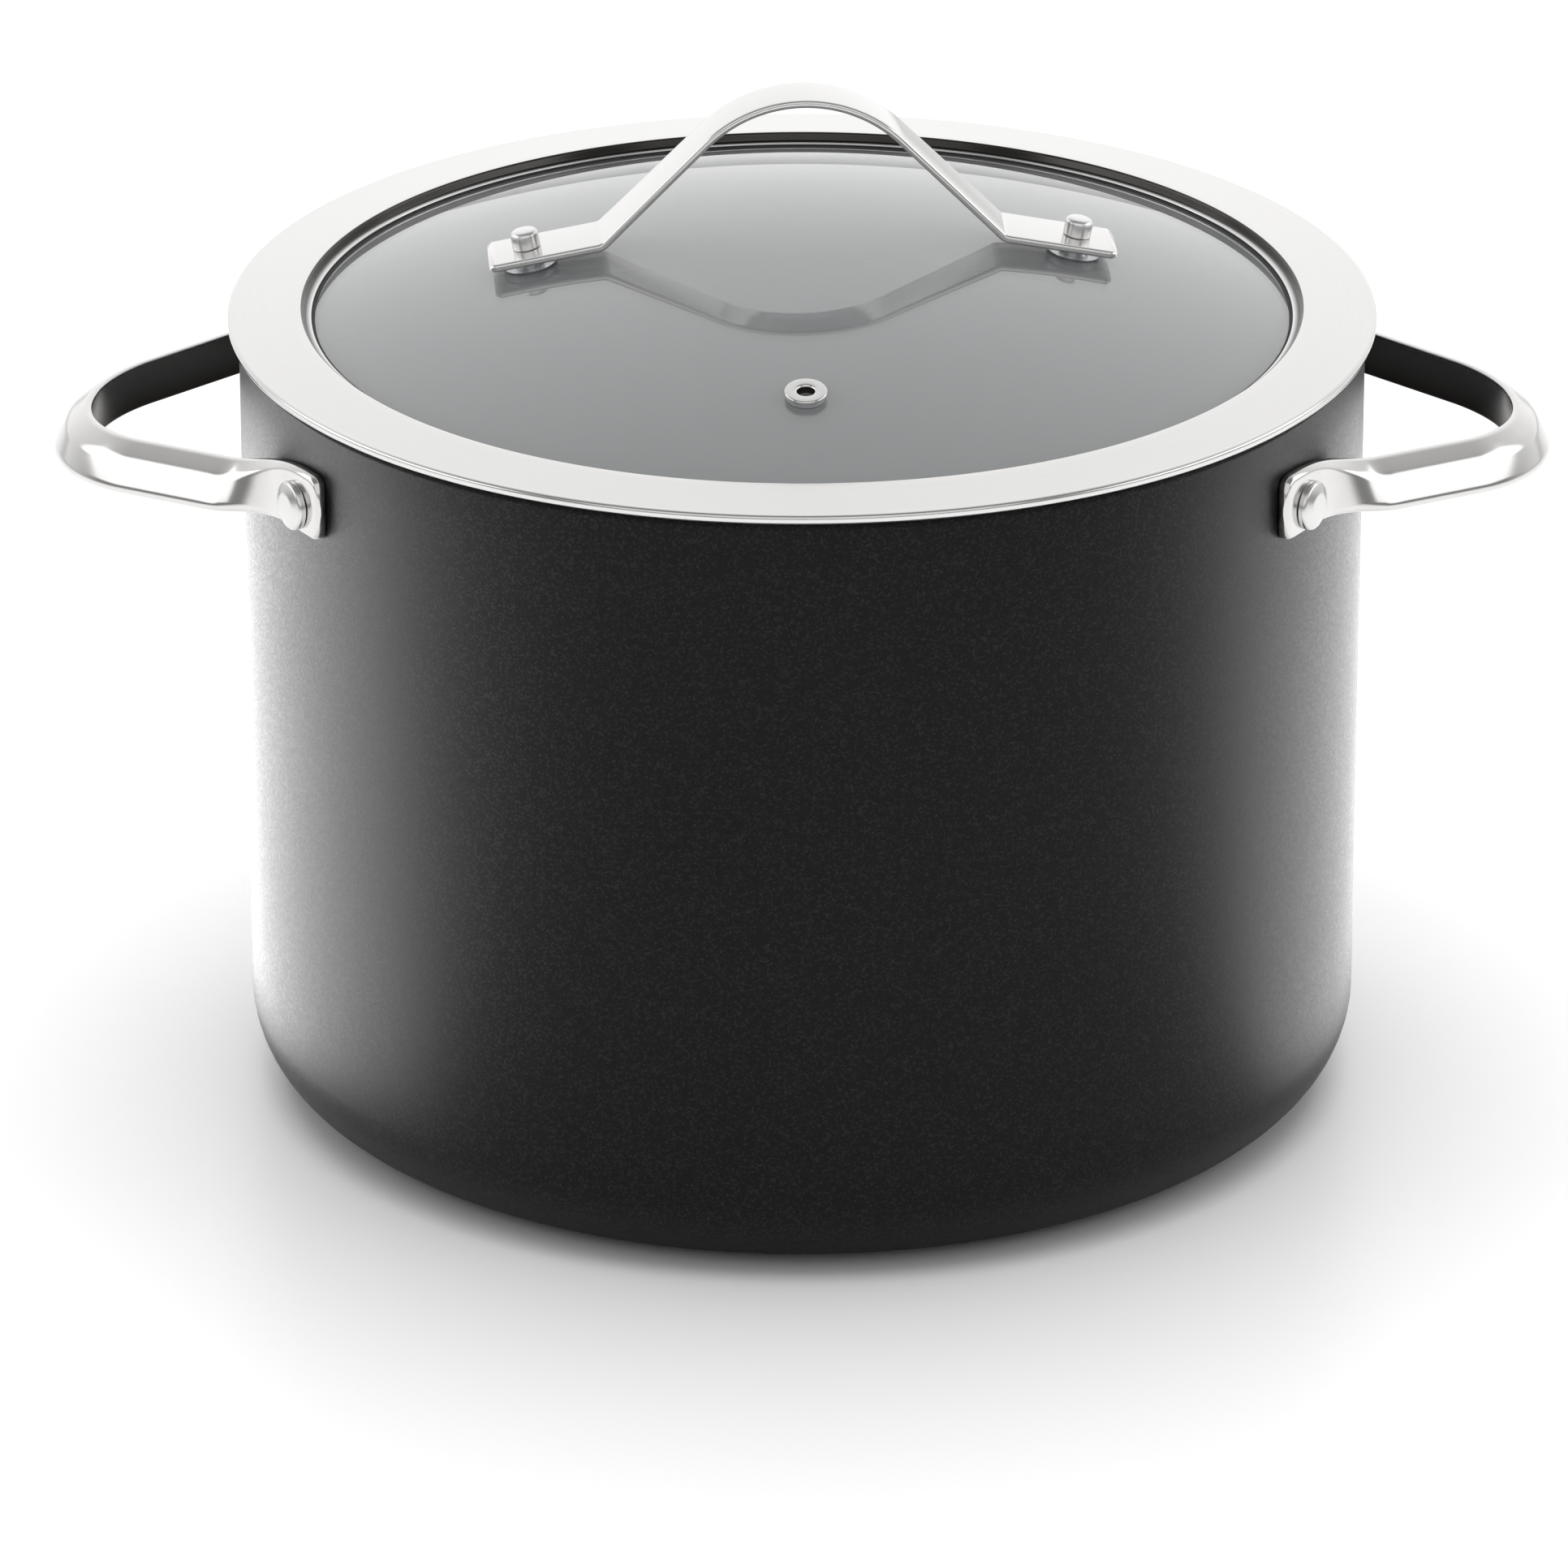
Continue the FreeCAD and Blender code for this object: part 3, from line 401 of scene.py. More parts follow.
class Graph:
    """Node tree of one material, with the few kinds of node that the finishes use."""

    def __init__(self, name: str) -> None:
        """Start an empty material.

        Args:
            name: name of the material.
        """
        self.material = bpy.data.materials.new(name)
        self.material.use_nodes = True
        self.tree = self.material.node_tree
        self.tree.nodes.clear()

    def node(self, kind: str, settings: Optional[Dict[str, Any]] = None,
             inputs: Optional[Dict[Union[str, int], Link]] = None) -> Any:
        """Add a node.

        Args:
            kind: Blender's name of the node type.
            settings: properties of the node, set first.
            inputs: values or links of its sockets, by name or number.

        Returns:
            The node.
        """
        made = self.tree.nodes.new(kind)
        for name, value in (settings or {}).items():
            setattr(made, name, value)
        for name, value in (inputs or {}).items():
            if isinstance(value, Socket):
                self.tree.links.new(value.output, made.inputs[name])
            else:
                made.inputs[name].default_value = value
        return made

    def out(self, node: Any, name: Union[str, int] = 0) -> Socket:
        """One output of a node as a socket."""
        return Socket(self, node.outputs[name])

    def math(self, operation: str, *values: Value) -> Socket:
        """A Math node on up to three values."""
        return self.out(self.node("ShaderNodeMath", {"operation": operation}, dict(enumerate(values))))

    def place(self) -> Socket:
        """The point on the object, in its own coordinates."""
        return self.out(self.node("ShaderNodeTexCoord"), "Object")

    def parts(self, vector: Socket) -> Tuple[Socket, Socket, Socket]:
        """The three parts of a vector."""
        split = self.node("ShaderNodeSeparateXYZ", inputs={0: vector})
        return self.out(split, 0), self.out(split, 1), self.out(split, 2)

    def join(self, x: Value, y: Value, z: Value) -> Socket:
        """A vector from three values."""
        return self.out(self.node("ShaderNodeCombineXYZ", inputs={0: x, 1: y, 2: z}))

    def noise(self, scale: float, detail: float = 2.0, roughness: float = 0.5,
              at: Optional[Socket] = None) -> Socket:
        """Smooth noise from 0 to 1 at a number of cells a metre."""
        inputs = {"Vector": at or self.place(), "Scale": scale, "Detail": detail, "Roughness": roughness}
        return self.out(self.node("ShaderNodeTexNoise", inputs=inputs), "Fac")

    def grains(self, scale: float) -> Socket:
        """Random value of each cell, from 0 to 1, at a number of cells a metre."""
        cells = self.node("ShaderNodeTexVoronoi", inputs={"Vector": self.place(), "Scale": scale})
        return self.parts(self.out(cells, "Color"))[0]

    def between(self, value: Value, low: float, high: float) -> Socket:
        """How far a value is from low to high, held within 0 and 1."""
        return self.out(self.node("ShaderNodeMapRange", {"clamp": True},
                                  {0: value, 1: low, 2: high, 3: 0.0, 4: 1.0}))

    def mix(self, share: Value, first: Link, second: Link) -> Socket:
        """A colour between two others."""
        node = self.node("ShaderNodeMix", {"data_type": "RGBA"}, {"Factor": share})
        for name, colour in (("A", first), ("B", second)):
            target = next(i for i in node.inputs if i.name == name and i.type == "RGBA")
            if isinstance(colour, Socket):
                self.tree.links.new(colour.output, target)
            else:
                target.default_value = (*colour, 1.0)
        return Socket(self, next(o for o in node.outputs if o.type == "RGBA"))

    def bump(self, height: Socket, depth: float, strength: float = 1.0) -> Socket:
        """A normal from a height from 0 to 1 that stands for a depth in metres."""
        return self.out(self.node("ShaderNodeBump", inputs={"Height": height, "Distance": depth,
                                                            "Strength": strength}))

    def own(self, name: str) -> Socket:
        """A value that the mesh carries at its points; zero where it carries none."""
        return self.out(self.node("ShaderNodeAttribute", {"attribute_name": name}), "Fac")

    def rings(self) -> Tuple[Socket, Socket, Socket]:
        """Distance from the Z axis, angle about it and height."""
        x, y, z = self.parts(self.place())
        return (x * x + y * y) ** 0.5, y.math("ARCTAN2", x), z

    def finish(self, **inputs: Link) -> bpy.types.Material:
        """End the graph in a Principled shader.

        Args:
            inputs: values or links of its sockets; an underscore stands for a space.

        Returns:
            The material.
        """
        named = {name.replace("_", " "): value for name, value in inputs.items()}
        shader = self.node("ShaderNodeBsdfPrincipled", inputs=named)
        self.node("ShaderNodeOutputMaterial", inputs={"Surface": self.out(shader)})
        return self.material


# ---------------------------------------------------------------- finishes

Colour = Tuple[float, float, float]


def dimmed(colour: Colour, share: float) -> List[float]:
    """A colour at a share of its strength."""
    return [share * part for part in colour]


@dataclass(frozen=True)
class HardAnodised:
    """Dark grey anodised aluminium, matt, with a fine metallic sparkle."""

    dark: Colour = (0.006, 0.0061, 0.0065)
    light: Colour = (0.04, 0.04, 0.0415)
    grain: float = 2100.0
    depth: float = 0.00003

    def material(self) -> bpy.types.Material:
        """Grains of random tone and gloss over a slow drift, with turning marks under the base."""
        graph = Graph("hard_anodised")
        grain = graph.grains(self.grain)
        sparkle = graph.between(grain, 0.6, 1.0)
        drift = graph.noise(9.0, 3.0)
        radius, _, height = graph.rings()
        marks = graph.noise(1.0, 2.0, at=graph.join(radius * 1500.0, 0.0, 0.0))
        base = graph.between(height, 0.001, 0.0)
        tone = graph.mix(sparkle * 0.5 + drift * 0.1, self.dark, self.light)
        return graph.finish(
            Base_Color=tone, Metallic=sparkle * 0.2, Specular_IOR_Level=0.1,
            Roughness=0.37 + grain * 0.12 + drift * 0.05,
            Normal=graph.bump(grain * (1.0 - base) + marks * base, self.depth, 0.35))


@dataclass(frozen=True)
class PolishedCasting:
    """Polished cast stainless steel, with the slow waves that casting leaves."""

    name: str
    tone: Colour = (0.72, 0.712, 0.7)
    gloss: float = 0.12
    wave: float = 45.0
    depth: float = 0.00005
    # painted shade: the dark colour that stands in for shade and for the dark pot reflected in the steel
    raw: Colour = (0.1, 0.092, 0.085)

    def material(self) -> bpy.types.Material:
        """Slow waves for the bump, cloudy gloss, fine polishing lines, and painted shade: a dark, rougher
        tone where the mesh carries a share of shade.
        """
        graph = Graph(self.name)
        waves = graph.noise(self.wave, 2.0)
        cloud = graph.noise(220.0, 4.0)
        fine = graph.noise(2600.0, 2.0)
        tone = graph.mix(graph.between(cloud, 0.35, 0.75), self.tone, dimmed(self.tone, 0.97))
        # painted shade: the mesh's share of shade, which darkens and roughens the steel
        raw = graph.own("unpolished")
        return graph.finish(
            Base_Color=graph.mix(raw, tone, self.raw), Metallic=1.0,
            Roughness=self.gloss + cloud * 0.03 + fine * 0.02 + raw * 0.25,
            Normal=graph.bump(waves, self.depth, 0.5))


@dataclass(frozen=True)
class BrushedRound:
    """Steel brushed or turned about the Z axis."""

    name: str
    tone: Colour = (0.76, 0.755, 0.745)
    gloss: float = 0.14
    lines: float = 5200.0
    depth: float = 0.00002
    # painted shade: the dark colour painted where the mesh carries a share of shade
    raw: Colour = (0.06, 0.058, 0.055)

    def material(self) -> bpy.types.Material:
        """Lines that follow the turn: noise stretched along the angle, and painted shade where the mesh
        carries a share of shade.
        """
        graph = Graph(self.name)
        radius, angle, height = graph.rings()
        along = graph.join(radius * self.lines, angle * 3.0, height * self.lines)
        lines = graph.noise(1.0, 3.0, 0.6, at=along)
        cloud = graph.noise(25.0, 3.0)
        tone = graph.mix(lines, self.tone, dimmed(self.tone, 0.94))
        return graph.finish(
            # painted shade: darkens the steel by the mesh's share of shade
            Base_Color=graph.mix(graph.own("unpolished"), tone, self.raw), Metallic=1.0,
            Roughness=self.gloss + lines * 0.06 + cloud * 0.03, Normal=graph.bump(lines, self.depth, 0.5))


@dataclass(frozen=True)
class BrushedLong:
    """Polished strap steel with faint lines along its length."""

    name: str
    tone: Colour = (0.77, 0.765, 0.755)
    gloss: float = 0.1
    lines: float = 3000.0

    def material(self) -> bpy.types.Material:
        """Noise stretched along X, which is the way that the strap runs."""
        graph = Graph(self.name)
        x, y, z = graph.parts(graph.place())
        lines = graph.noise(1.0, 3.0, at=graph.join(x * 60.0, y * self.lines, z * 60.0))
        cloud = graph.noise(70.0, 3.0)
        tone = graph.mix(cloud, self.tone, dimmed(self.tone, 0.97))
        return graph.finish(
            Base_Color=tone, Metallic=1.0, Roughness=self.gloss + lines * 0.04 + cloud * 0.03,
            Normal=graph.bump(lines, 0.00001, 0.4))


@dataclass(frozen=True)
class ClearGlass:
    """Tempered glass with a grey tint and a film of wiping marks, which holds back part of the light."""

    tint: Colour = (0.76, 0.775, 0.785)
    film: Colour = (0.73, 0.745, 0.755)
    clear: float = 0.64
    bend: float = 2.0

    def material(self) -> bpy.types.Material:
        """A clear shader whose gloss drifts a little."""
        graph = Graph("tempered_glass")
        haze = graph.noise(30.0, 4.0, 0.6)
        waves = graph.noise(12.0, 1.0)
        return graph.finish(
            Base_Color=graph.mix(haze, self.tint, self.film), Transmission_Weight=self.clear, IOR=self.bend,
            Roughness=0.01 + graph.between(haze, 0.45, 0.8) * 0.02, Normal=graph.bump(waves, 0.00005, 0.2))


@dataclass(frozen=True)
class ClearPlastic:
    """Clear soft plastic of the washers and the grommet, a little milky."""

    name: str
    tint: Colour = (0.9, 0.92, 0.94)
    clear: float = 0.85

    def material(self) -> bpy.types.Material:
        """Smooth clear plastic with cloudy gloss."""
        graph = Graph(self.name)
        cloud = graph.noise(400.0, 3.0)
        return graph.finish(
            Base_Color=graph.mix(cloud, self.tint, dimmed(self.tint, 0.93)),
            Roughness=0.12 + cloud * 0.12, Transmission_Weight=self.clear, IOR=1.42)


@dataclass(frozen=True)
class Silicone:
    """Matt dark silicone rubber with a dusty skin."""

    dark: Colour = (0.02, 0.02, 0.021)
    dusty: Colour = (0.07, 0.07, 0.07)

    def material(self) -> bpy.types.Material:
        """Fine pores and a slow change of gloss."""
        graph = Graph("silicone")
        pores = graph.noise(3500.0, 2.0)
        dust = graph.noise(90.0, 4.0)
        return graph.finish(
            Base_Color=graph.mix(dust * 0.4, self.dark, self.dusty),
            Roughness=0.5 + dust * 0.2, Normal=graph.bump(pores, 0.00003, 0.5))


@dataclass(frozen=True)
class PlatedWire:
    """Bright plated wire, with the plating's small ripples."""

    tone: Colour = (0.62, 0.62, 0.615)
    dull: Colour = (0.45, 0.44, 0.42)

    def material(self) -> bpy.types.Material:
        """Ripples in the bump and spots of duller plating."""
        graph = Graph("plated_wire")
        ripple = graph.noise(500.0, 3.0)
        spots = graph.between(graph.noise(160.0, 4.0), 0.6, 0.8)
        return graph.finish(
            Base_Color=graph.mix(spots, self.tone, self.dull), Metallic=1.0,
            Roughness=0.14 + spots * 0.2, Normal=graph.bump(ripple, 0.00006, 0.5))


class Finish(Enum):
    """The finishes of this object, each with the record's slot that it stands for."""

    POT = ("anodised_aluminium", HardAnodised())
    CASTING = ("cast_steel", PolishedCasting("cast_steel"))
    RIVET = ("rivet_steel", PolishedCasting("rivet_steel", (0.74, 0.735, 0.73), 0.22, 200.0, 0.00002))
    BAND = ("band_steel", BrushedRound("band_steel"))
    GLASS = ("tempered_glass", ClearGlass())
    SILICONE = ("silicone", Silicone())
    STRAP = ("strap_steel", BrushedLong("strap_steel"))
    STUD = ("stud_steel", PolishedCasting("stud_steel", (0.84, 0.835, 0.83), 0.27, 300.0, 0.00001))
    WASHER = ("clear_washer", ClearPlastic("clear_washer"))
    GROMMET = ("silicone", ClearPlastic("clear_silicone", (0.86, 0.87, 0.88), 0.5))
    EYELET = ("eyelet_steel", PolishedCasting("eyelet_steel", (0.78, 0.775, 0.765), 0.12, 300.0, 0.00001))
    RACK = ("rack_wire", PlatedWire())

    @property
    def slot(self) -> str:
        """The record's material slot."""
        return self.value[0]

    def material(self) -> bpy.types.Material:
        """The material, made once."""
        return bpy.data.materials.get(self.name.lower()) or self.made()

    def made(self) -> bpy.types.Material:
        """Make the material under the name that it is looked up by."""
        material = self.value[1].material()
        material.name = self.name.lower()
        return material


def dress(piece: bpy.types.Object, finish: Finish, body: str, *nodes: str) -> bpy.types.Object:
    """Give a piece its finish and its body, and hide the CAD nodes that it stands for.

    Args:
        piece: the new piece.
        finish: its finish.
        body: the CAD body that it moves with.
        nodes: the CAD nodes that it stands for.

    Returns:
        The piece.
    """
    piece.data.materials.append(finish.material())
    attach(piece, body)
    finish.slot
    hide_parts(*nodes)
    LOG.info("%s: %d faces, rides on %s", piece.name, len(piece.data.polygons), body)
    return piece


# ---------------------------------------------------------------- pot

def turn_about_z(angle: float) -> Array:
    """The 3 by 3 matrix of a turn about Z."""
    c, s = math.cos(angle), math.sin(angle)
    return np.array([[c, -s, 0.0], [s, c, 0.0], [0.0, 0.0, 1.0]])


def tilt_about_y(angle: float) -> Array:
    """The 3 by 3 matrix of a turn about Y."""
    c, s = math.cos(angle), math.sin(angle)
    return np.array([[c, 0.0, s], [0.0, 1.0, 0.0], [-s, 0.0, c]])


class Side(Enum):
    """The two sides of the pot, by the angle of each about Z in degrees."""

    LEFT = 180.0
    RIGHT = 0.0

    @property
    def word(self) -> str:
        """The side's word in names."""
        return self.name.lower()


class End(Enum):
    """The two ends of a side handle, by their sign along Y."""

    FRONT = -1
    REAR = 1


@dataclass
class Pot:
    """The drawn pan: a flat base, a wide corner, a straight wall and a rounded brim."""

    radius: float = 140.0 * MM
    wall: float = 3.0 * MM
    floor: float = 4.5 * MM
    corner: float = 23.0 * MM
    brim: float = 1.45 * MM
    height: float = field(init=False)

    def __post_init__(self) -> None:
        """Take the height from the frame."""
        self.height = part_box("pot_body")[1].z

    def profile(self) -> Array:
        """Half section of the pan, from the base's centre round the brim to the floor's centre."""
        inner = self.radius - self.wall
        return rounded([
            (0, 0), (self.radius, 0, self.corner), (self.radius, self.height, self.brim),
            (inner, self.height, self.brim), (inner, self.floor, self.corner - self.wall), (0, self.floor)],
            steps=14, closed=False)

    def build(self) -> None:
        """Turn the pan about Z."""
        skin = turned(spread(self.profile(), 12 * MM, closed=False), 288)
        dress(surface("pot_shell", [skin]), Finish.POT, "pot", "pot_body")


@dataclass
class SideHandle:
    """A cast handle: two riveting pads on the wall and a wedge-shaped loop between them.

    LOOP is the loop's section in mm: each corner's distance out from the inner face and down
    from the top edge. The rounds are the corners' in mm, on the loop and on the pads, and the
    spans are the distances from an end over which the section turns and rises.
    """

    LOOP = ((0.0, 0.0), (1.7, 0.0), (6.4, 3.3), (9.9, 10.2), (9.0, 11.7), (0.0, 11.7))
    LOOP_ROUNDS = (0.7, 0.7, 1.6, 1.5, 1.5, 0.9)
    PAD_ROUNDS = (0.5, 0.7, 0.6, 0.6, 0.7, 0.5)
    TURN_SPAN = (15 * MM, 46 * MM)
    RISE_SPAN = (7 * MM, 44 * MM)

    side: Side
    wall: float = 140.05 * MM
    pad_thick: float = 3.0 * MM
    pad_top: float = 187.8 * MM
    pad_bottom: float = 171.0 * MM
    pad_end: float = math.radians(34.7)
    pad_neck: float = math.radians(25.7)
    pad_corner: float = 4.0 * MM
    pad_bevel: float = 1.1 * MM
    pad_shoulder: float = 0.6
    end_round: float = 0.7 * MM
    reach: float = 177.2 * MM
    tip: float = 34.0 * MM
    blend: float = 40.0 * MM
    top: float = 176.6 * MM
    tilt: float = math.radians(5.2)
    rivet_angle: float = math.radians(30.35)
    rivet_level: float = 178.0 * MM
    rivet_head: float = 6.1 * MM
    rivet_shank: float = 3.0 * MM
    rivet_high: float = 3.0 * MM
    rivet_tail: float = 7.0 * MM
    rivet_tail_deep: float = 2.0 * MM
    rivet_tail_drop: float = 3.3 * MM

    def plan(self, step: float = 0.9 * MM) -> Tuple[Array, Array, Array]:
        """The inner face's plan from the front pad's end to the rear one's.

        It is an arc on the wall, an arc that leaves it, a straight run that touches both that arc
        and the tip's arc, and the same mirrored. Each arc is centre + radius * (cos a, sin a).

        Args:
            step: distance between points.

        Returns:
            Distance from the nearer end, the points (n, 2), and the outward angle at each.
        """
        bend = (self.wall + self.blend) * np.array([math.cos(self.pad_neck), -math.sin(self.pad_neck)])
        tip = np.array([self.reach - self.tip, 0.0])
        gap = tip - bend
        apart = float(np.linalg.norm(gap))
        heading = math.atan2(gap[1], gap[0]) - math.asin((self.blend + self.tip) / apart)
        outward = heading - math.pi / 2
        on_wall, wall_turn = arc(np.zeros(2), self.wall, -self.pad_end, -self.pad_neck, step)
        leaving, leave_turn = arc(bend, self.blend, math.pi - self.pad_neck, outward + math.pi, step)
        rounding, round_turn = arc(tip, self.tip, outward, 0.0, step)
        straight = spread(np.array([leaving[-1], rounding[0]]), step, closed=False)[1:-1]
        points = np.concatenate([on_wall, leaving[1:], straight, rounding])
        turn = np.concatenate([wall_turn, leave_turn[1:] - math.pi, np.full(len(straight), outward),
                               round_turn])
        points = np.concatenate([points, (points * [1, -1])[-2::-1]])
        turn = np.concatenate([turn, -turn[-2::-1]])
        travelled = np.concatenate([[0], np.cumsum(np.linalg.norm(np.diff(points, axis=0), axis=1))])
        return np.minimum(travelled, travelled[-1] - travelled), points, turn

    def sections(self, travelled: Array, points: Array) -> Tuple[Array, Array]:
        """The six corners of the section at each station, as (out, up), and how round each is.

        A section is the pad's flat plate at the ends and the loop's wedge in between, mixed by
        smooth steps of the distance travelled. The pad's end is rounded by an arc in elevation.

        Args:
            travelled: distance from the nearer end, (n,).
            points: plan of the inner face, (n, 2).

        Returns:
            Corners (n, 6, 2) and their radii (n, 6).
        """
        loop_top = self.top_edge(points[:, 0])
        nip = drawn_in(travelled, self.pad_corner)
        thick, nothing = self.pad_thick, 0 * travelled
        top, low, bevel = self.pad_top - nip, self.pad_bottom + nip, self.pad_bevel
        shoulder = self.pad_shoulder * thick
        pad = ((0.0, top), (shoulder, top), (thick, top - bevel), (thick, low + bevel), (shoulder, low),
               (0.0, low))
        loop = [(out * MM, loop_top - drop * MM) for out, drop in self.LOOP]
        pad, loop = (np.stack([np.stack([out + nothing, up], axis=-1) for out, up in outline], axis=1)
                     for outline in (pad, loop))
        turn_share, rise_share = smooth(travelled, *self.TURN_SPAN), smooth(travelled, *self.RISE_SPAN)
        share = np.stack([turn_share, rise_share], axis=-1)[:, None]
        loop_rounds, pad_rounds = np.array(self.LOOP_ROUNDS) * MM, np.array(self.PAD_ROUNDS) * MM
        return pad + (loop - pad) * share, pad_rounds + (loop_rounds - pad_rounds) * turn_share[:, None]

    def top_edge(self, across: Array) -> Array:
        """Height of the loop's top edge, which rises towards the pot by the handle's tilt."""
        return self.top + math.tan(self.tilt) * (self.reach - across)

    def build(self) -> None:
        """Carry the section along the plan, close both ends and set two rivets."""
        travelled, points, turn = self.plan()
        corners, radii = self.sections(travelled, points)
        rings = soften(corners, radii)
        centre = rings.mean(axis=1, keepdims=True)
        shrink = drawn_in(travelled, self.end_round)
        offset = rings - centre
        half = np.abs(offset).max(axis=1, keepdims=True)
        rings = centre + offset * (1 - shrink[:, None, None] / half)
        outward = np.stack([np.cos(turn), np.sin(turn)], axis=-1)
        plan = points[:, None] + rings[..., :1] * outward[:, None]
        skin = capped(np.concatenate([plan, rings[..., 1:]], axis=-1))
        around = turn_about_z(math.radians(self.side.value))
        name = f"handle_casting_{self.side.word}"
        casting = surface(name, [skin @ around.T], crease=50.0)
        # painted shade: darkens the inner faces, which face the dark pot
        carry(casting, "unpolished", self.inner_share(points @ around[:2, :2].T, casting))
        dress(casting, Finish.CASTING, "pot", f"side_handle_{self.side.word}")
        for end in End:
            self.rivet(end)

    def inner_share(self, plan: Array, casting: bpy.types.Object) -> Array:
        """Share of painted shade at each point, on the inner face that faces the pot: 1 on its plan, 0 off it
        and at its top edge.

        Args:
            plan: the inner face's plan, (n, 2).
            casting: the finished casting.

        Returns:
            A share for each point of its mesh, (m,).
        """
        spots = spots_of(casting)
        apart = np.linalg.norm(spots[:, None, :2] - plan[None], axis=-1).min(axis=1)
        under = self.top_edge(np.abs(spots[:, 0])) - spots[:, 2]
        return (1.0 - smooth(apart, 0.2 * MM, 0.6 * MM)) * smooth(under, 0.4 * MM, 1.0 * MM)

    def rivet(self, end: End) -> None:
        """A broad head, slightly domed with a rounded edge, its shank, and a flat tail inside the pot."""
        front, tail = self.wall + self.pad_thick + GAP, self.wall - self.rivet_tail_drop
        low = tail - self.rivet_tail_deep
        profile = rounded([
            (0, low), (self.rivet_tail, low, 0.8 * MM), (self.rivet_tail, tail, 0.2 * MM),
            (self.rivet_shank, tail), (self.rivet_shank, front), (self.rivet_head, front, 0.2 * MM),
            (self.rivet_head, front + 1.7 * MM, 1.0 * MM), (3.4 * MM, front + 2.85 * MM, 2.5 * MM),
            (0, front + self.rivet_high)], steps=6, closed=False)
        angle = end.value * self.rivet_angle * (1 if self.side is Side.RIGHT else -1)
        place = turn_about_z(angle + math.radians(self.side.value)) @ tilt_about_y(math.pi / 2)
        skin = turned(profile, 64) @ place.T + [0, 0, self.rivet_level]
        name = f"{self.side.word}_{end.name.lower()}"
        dress(surface(f"rivet_{name}", [skin]), Finish.RIVET, "pot", f"handle_rivet_{name}")


# ---------------------------------------------------------------- lid

@dataclass
class Dome:
    """The glass's outer surface: a sphere whose centre is on the Z axis, far below."""

    radius: float = 370.0 * MM
    glass: float = 4.0 * MM
    top: float = field(init=False)

    def __post_init__(self) -> None:
        """Take the height from the frame."""
        self.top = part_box("lid_glass")[1].z

    @property
    def centre(self) -> float:
        """Height of the sphere's centre."""
        return self.top - self.radius

    def height(self, reach: float, depth: float = 0.0) -> float:
        """Height of the surface, or of one a depth under it, at a distance from the axis."""
        return self.centre + math.sqrt((self.radius - depth) ** 2 - reach ** 2)

    def place(self, reach: float, angle: float) -> Array:
        """Stand a piece on the surface along its normal, as a 3 by 4 matrix."""
        turn = turn_about_z(angle) @ tilt_about_y(math.asin(reach / self.radius))
        spot = [reach * math.cos(angle), reach * math.sin(angle), self.height(reach)]
        return np.concatenate([turn, np.array(spot)[:, None]], axis=1)

    def cap(self, reach: float, depth: float, count: int) -> Array:
        """(r, z) points of the surface at a depth, from the axis out to a distance."""
        radius = np.linspace(0, reach, count)
        height = self.centre + np.sqrt((self.radius - depth) ** 2 - radius ** 2)
        return np.stack([radius, height], axis=-1)


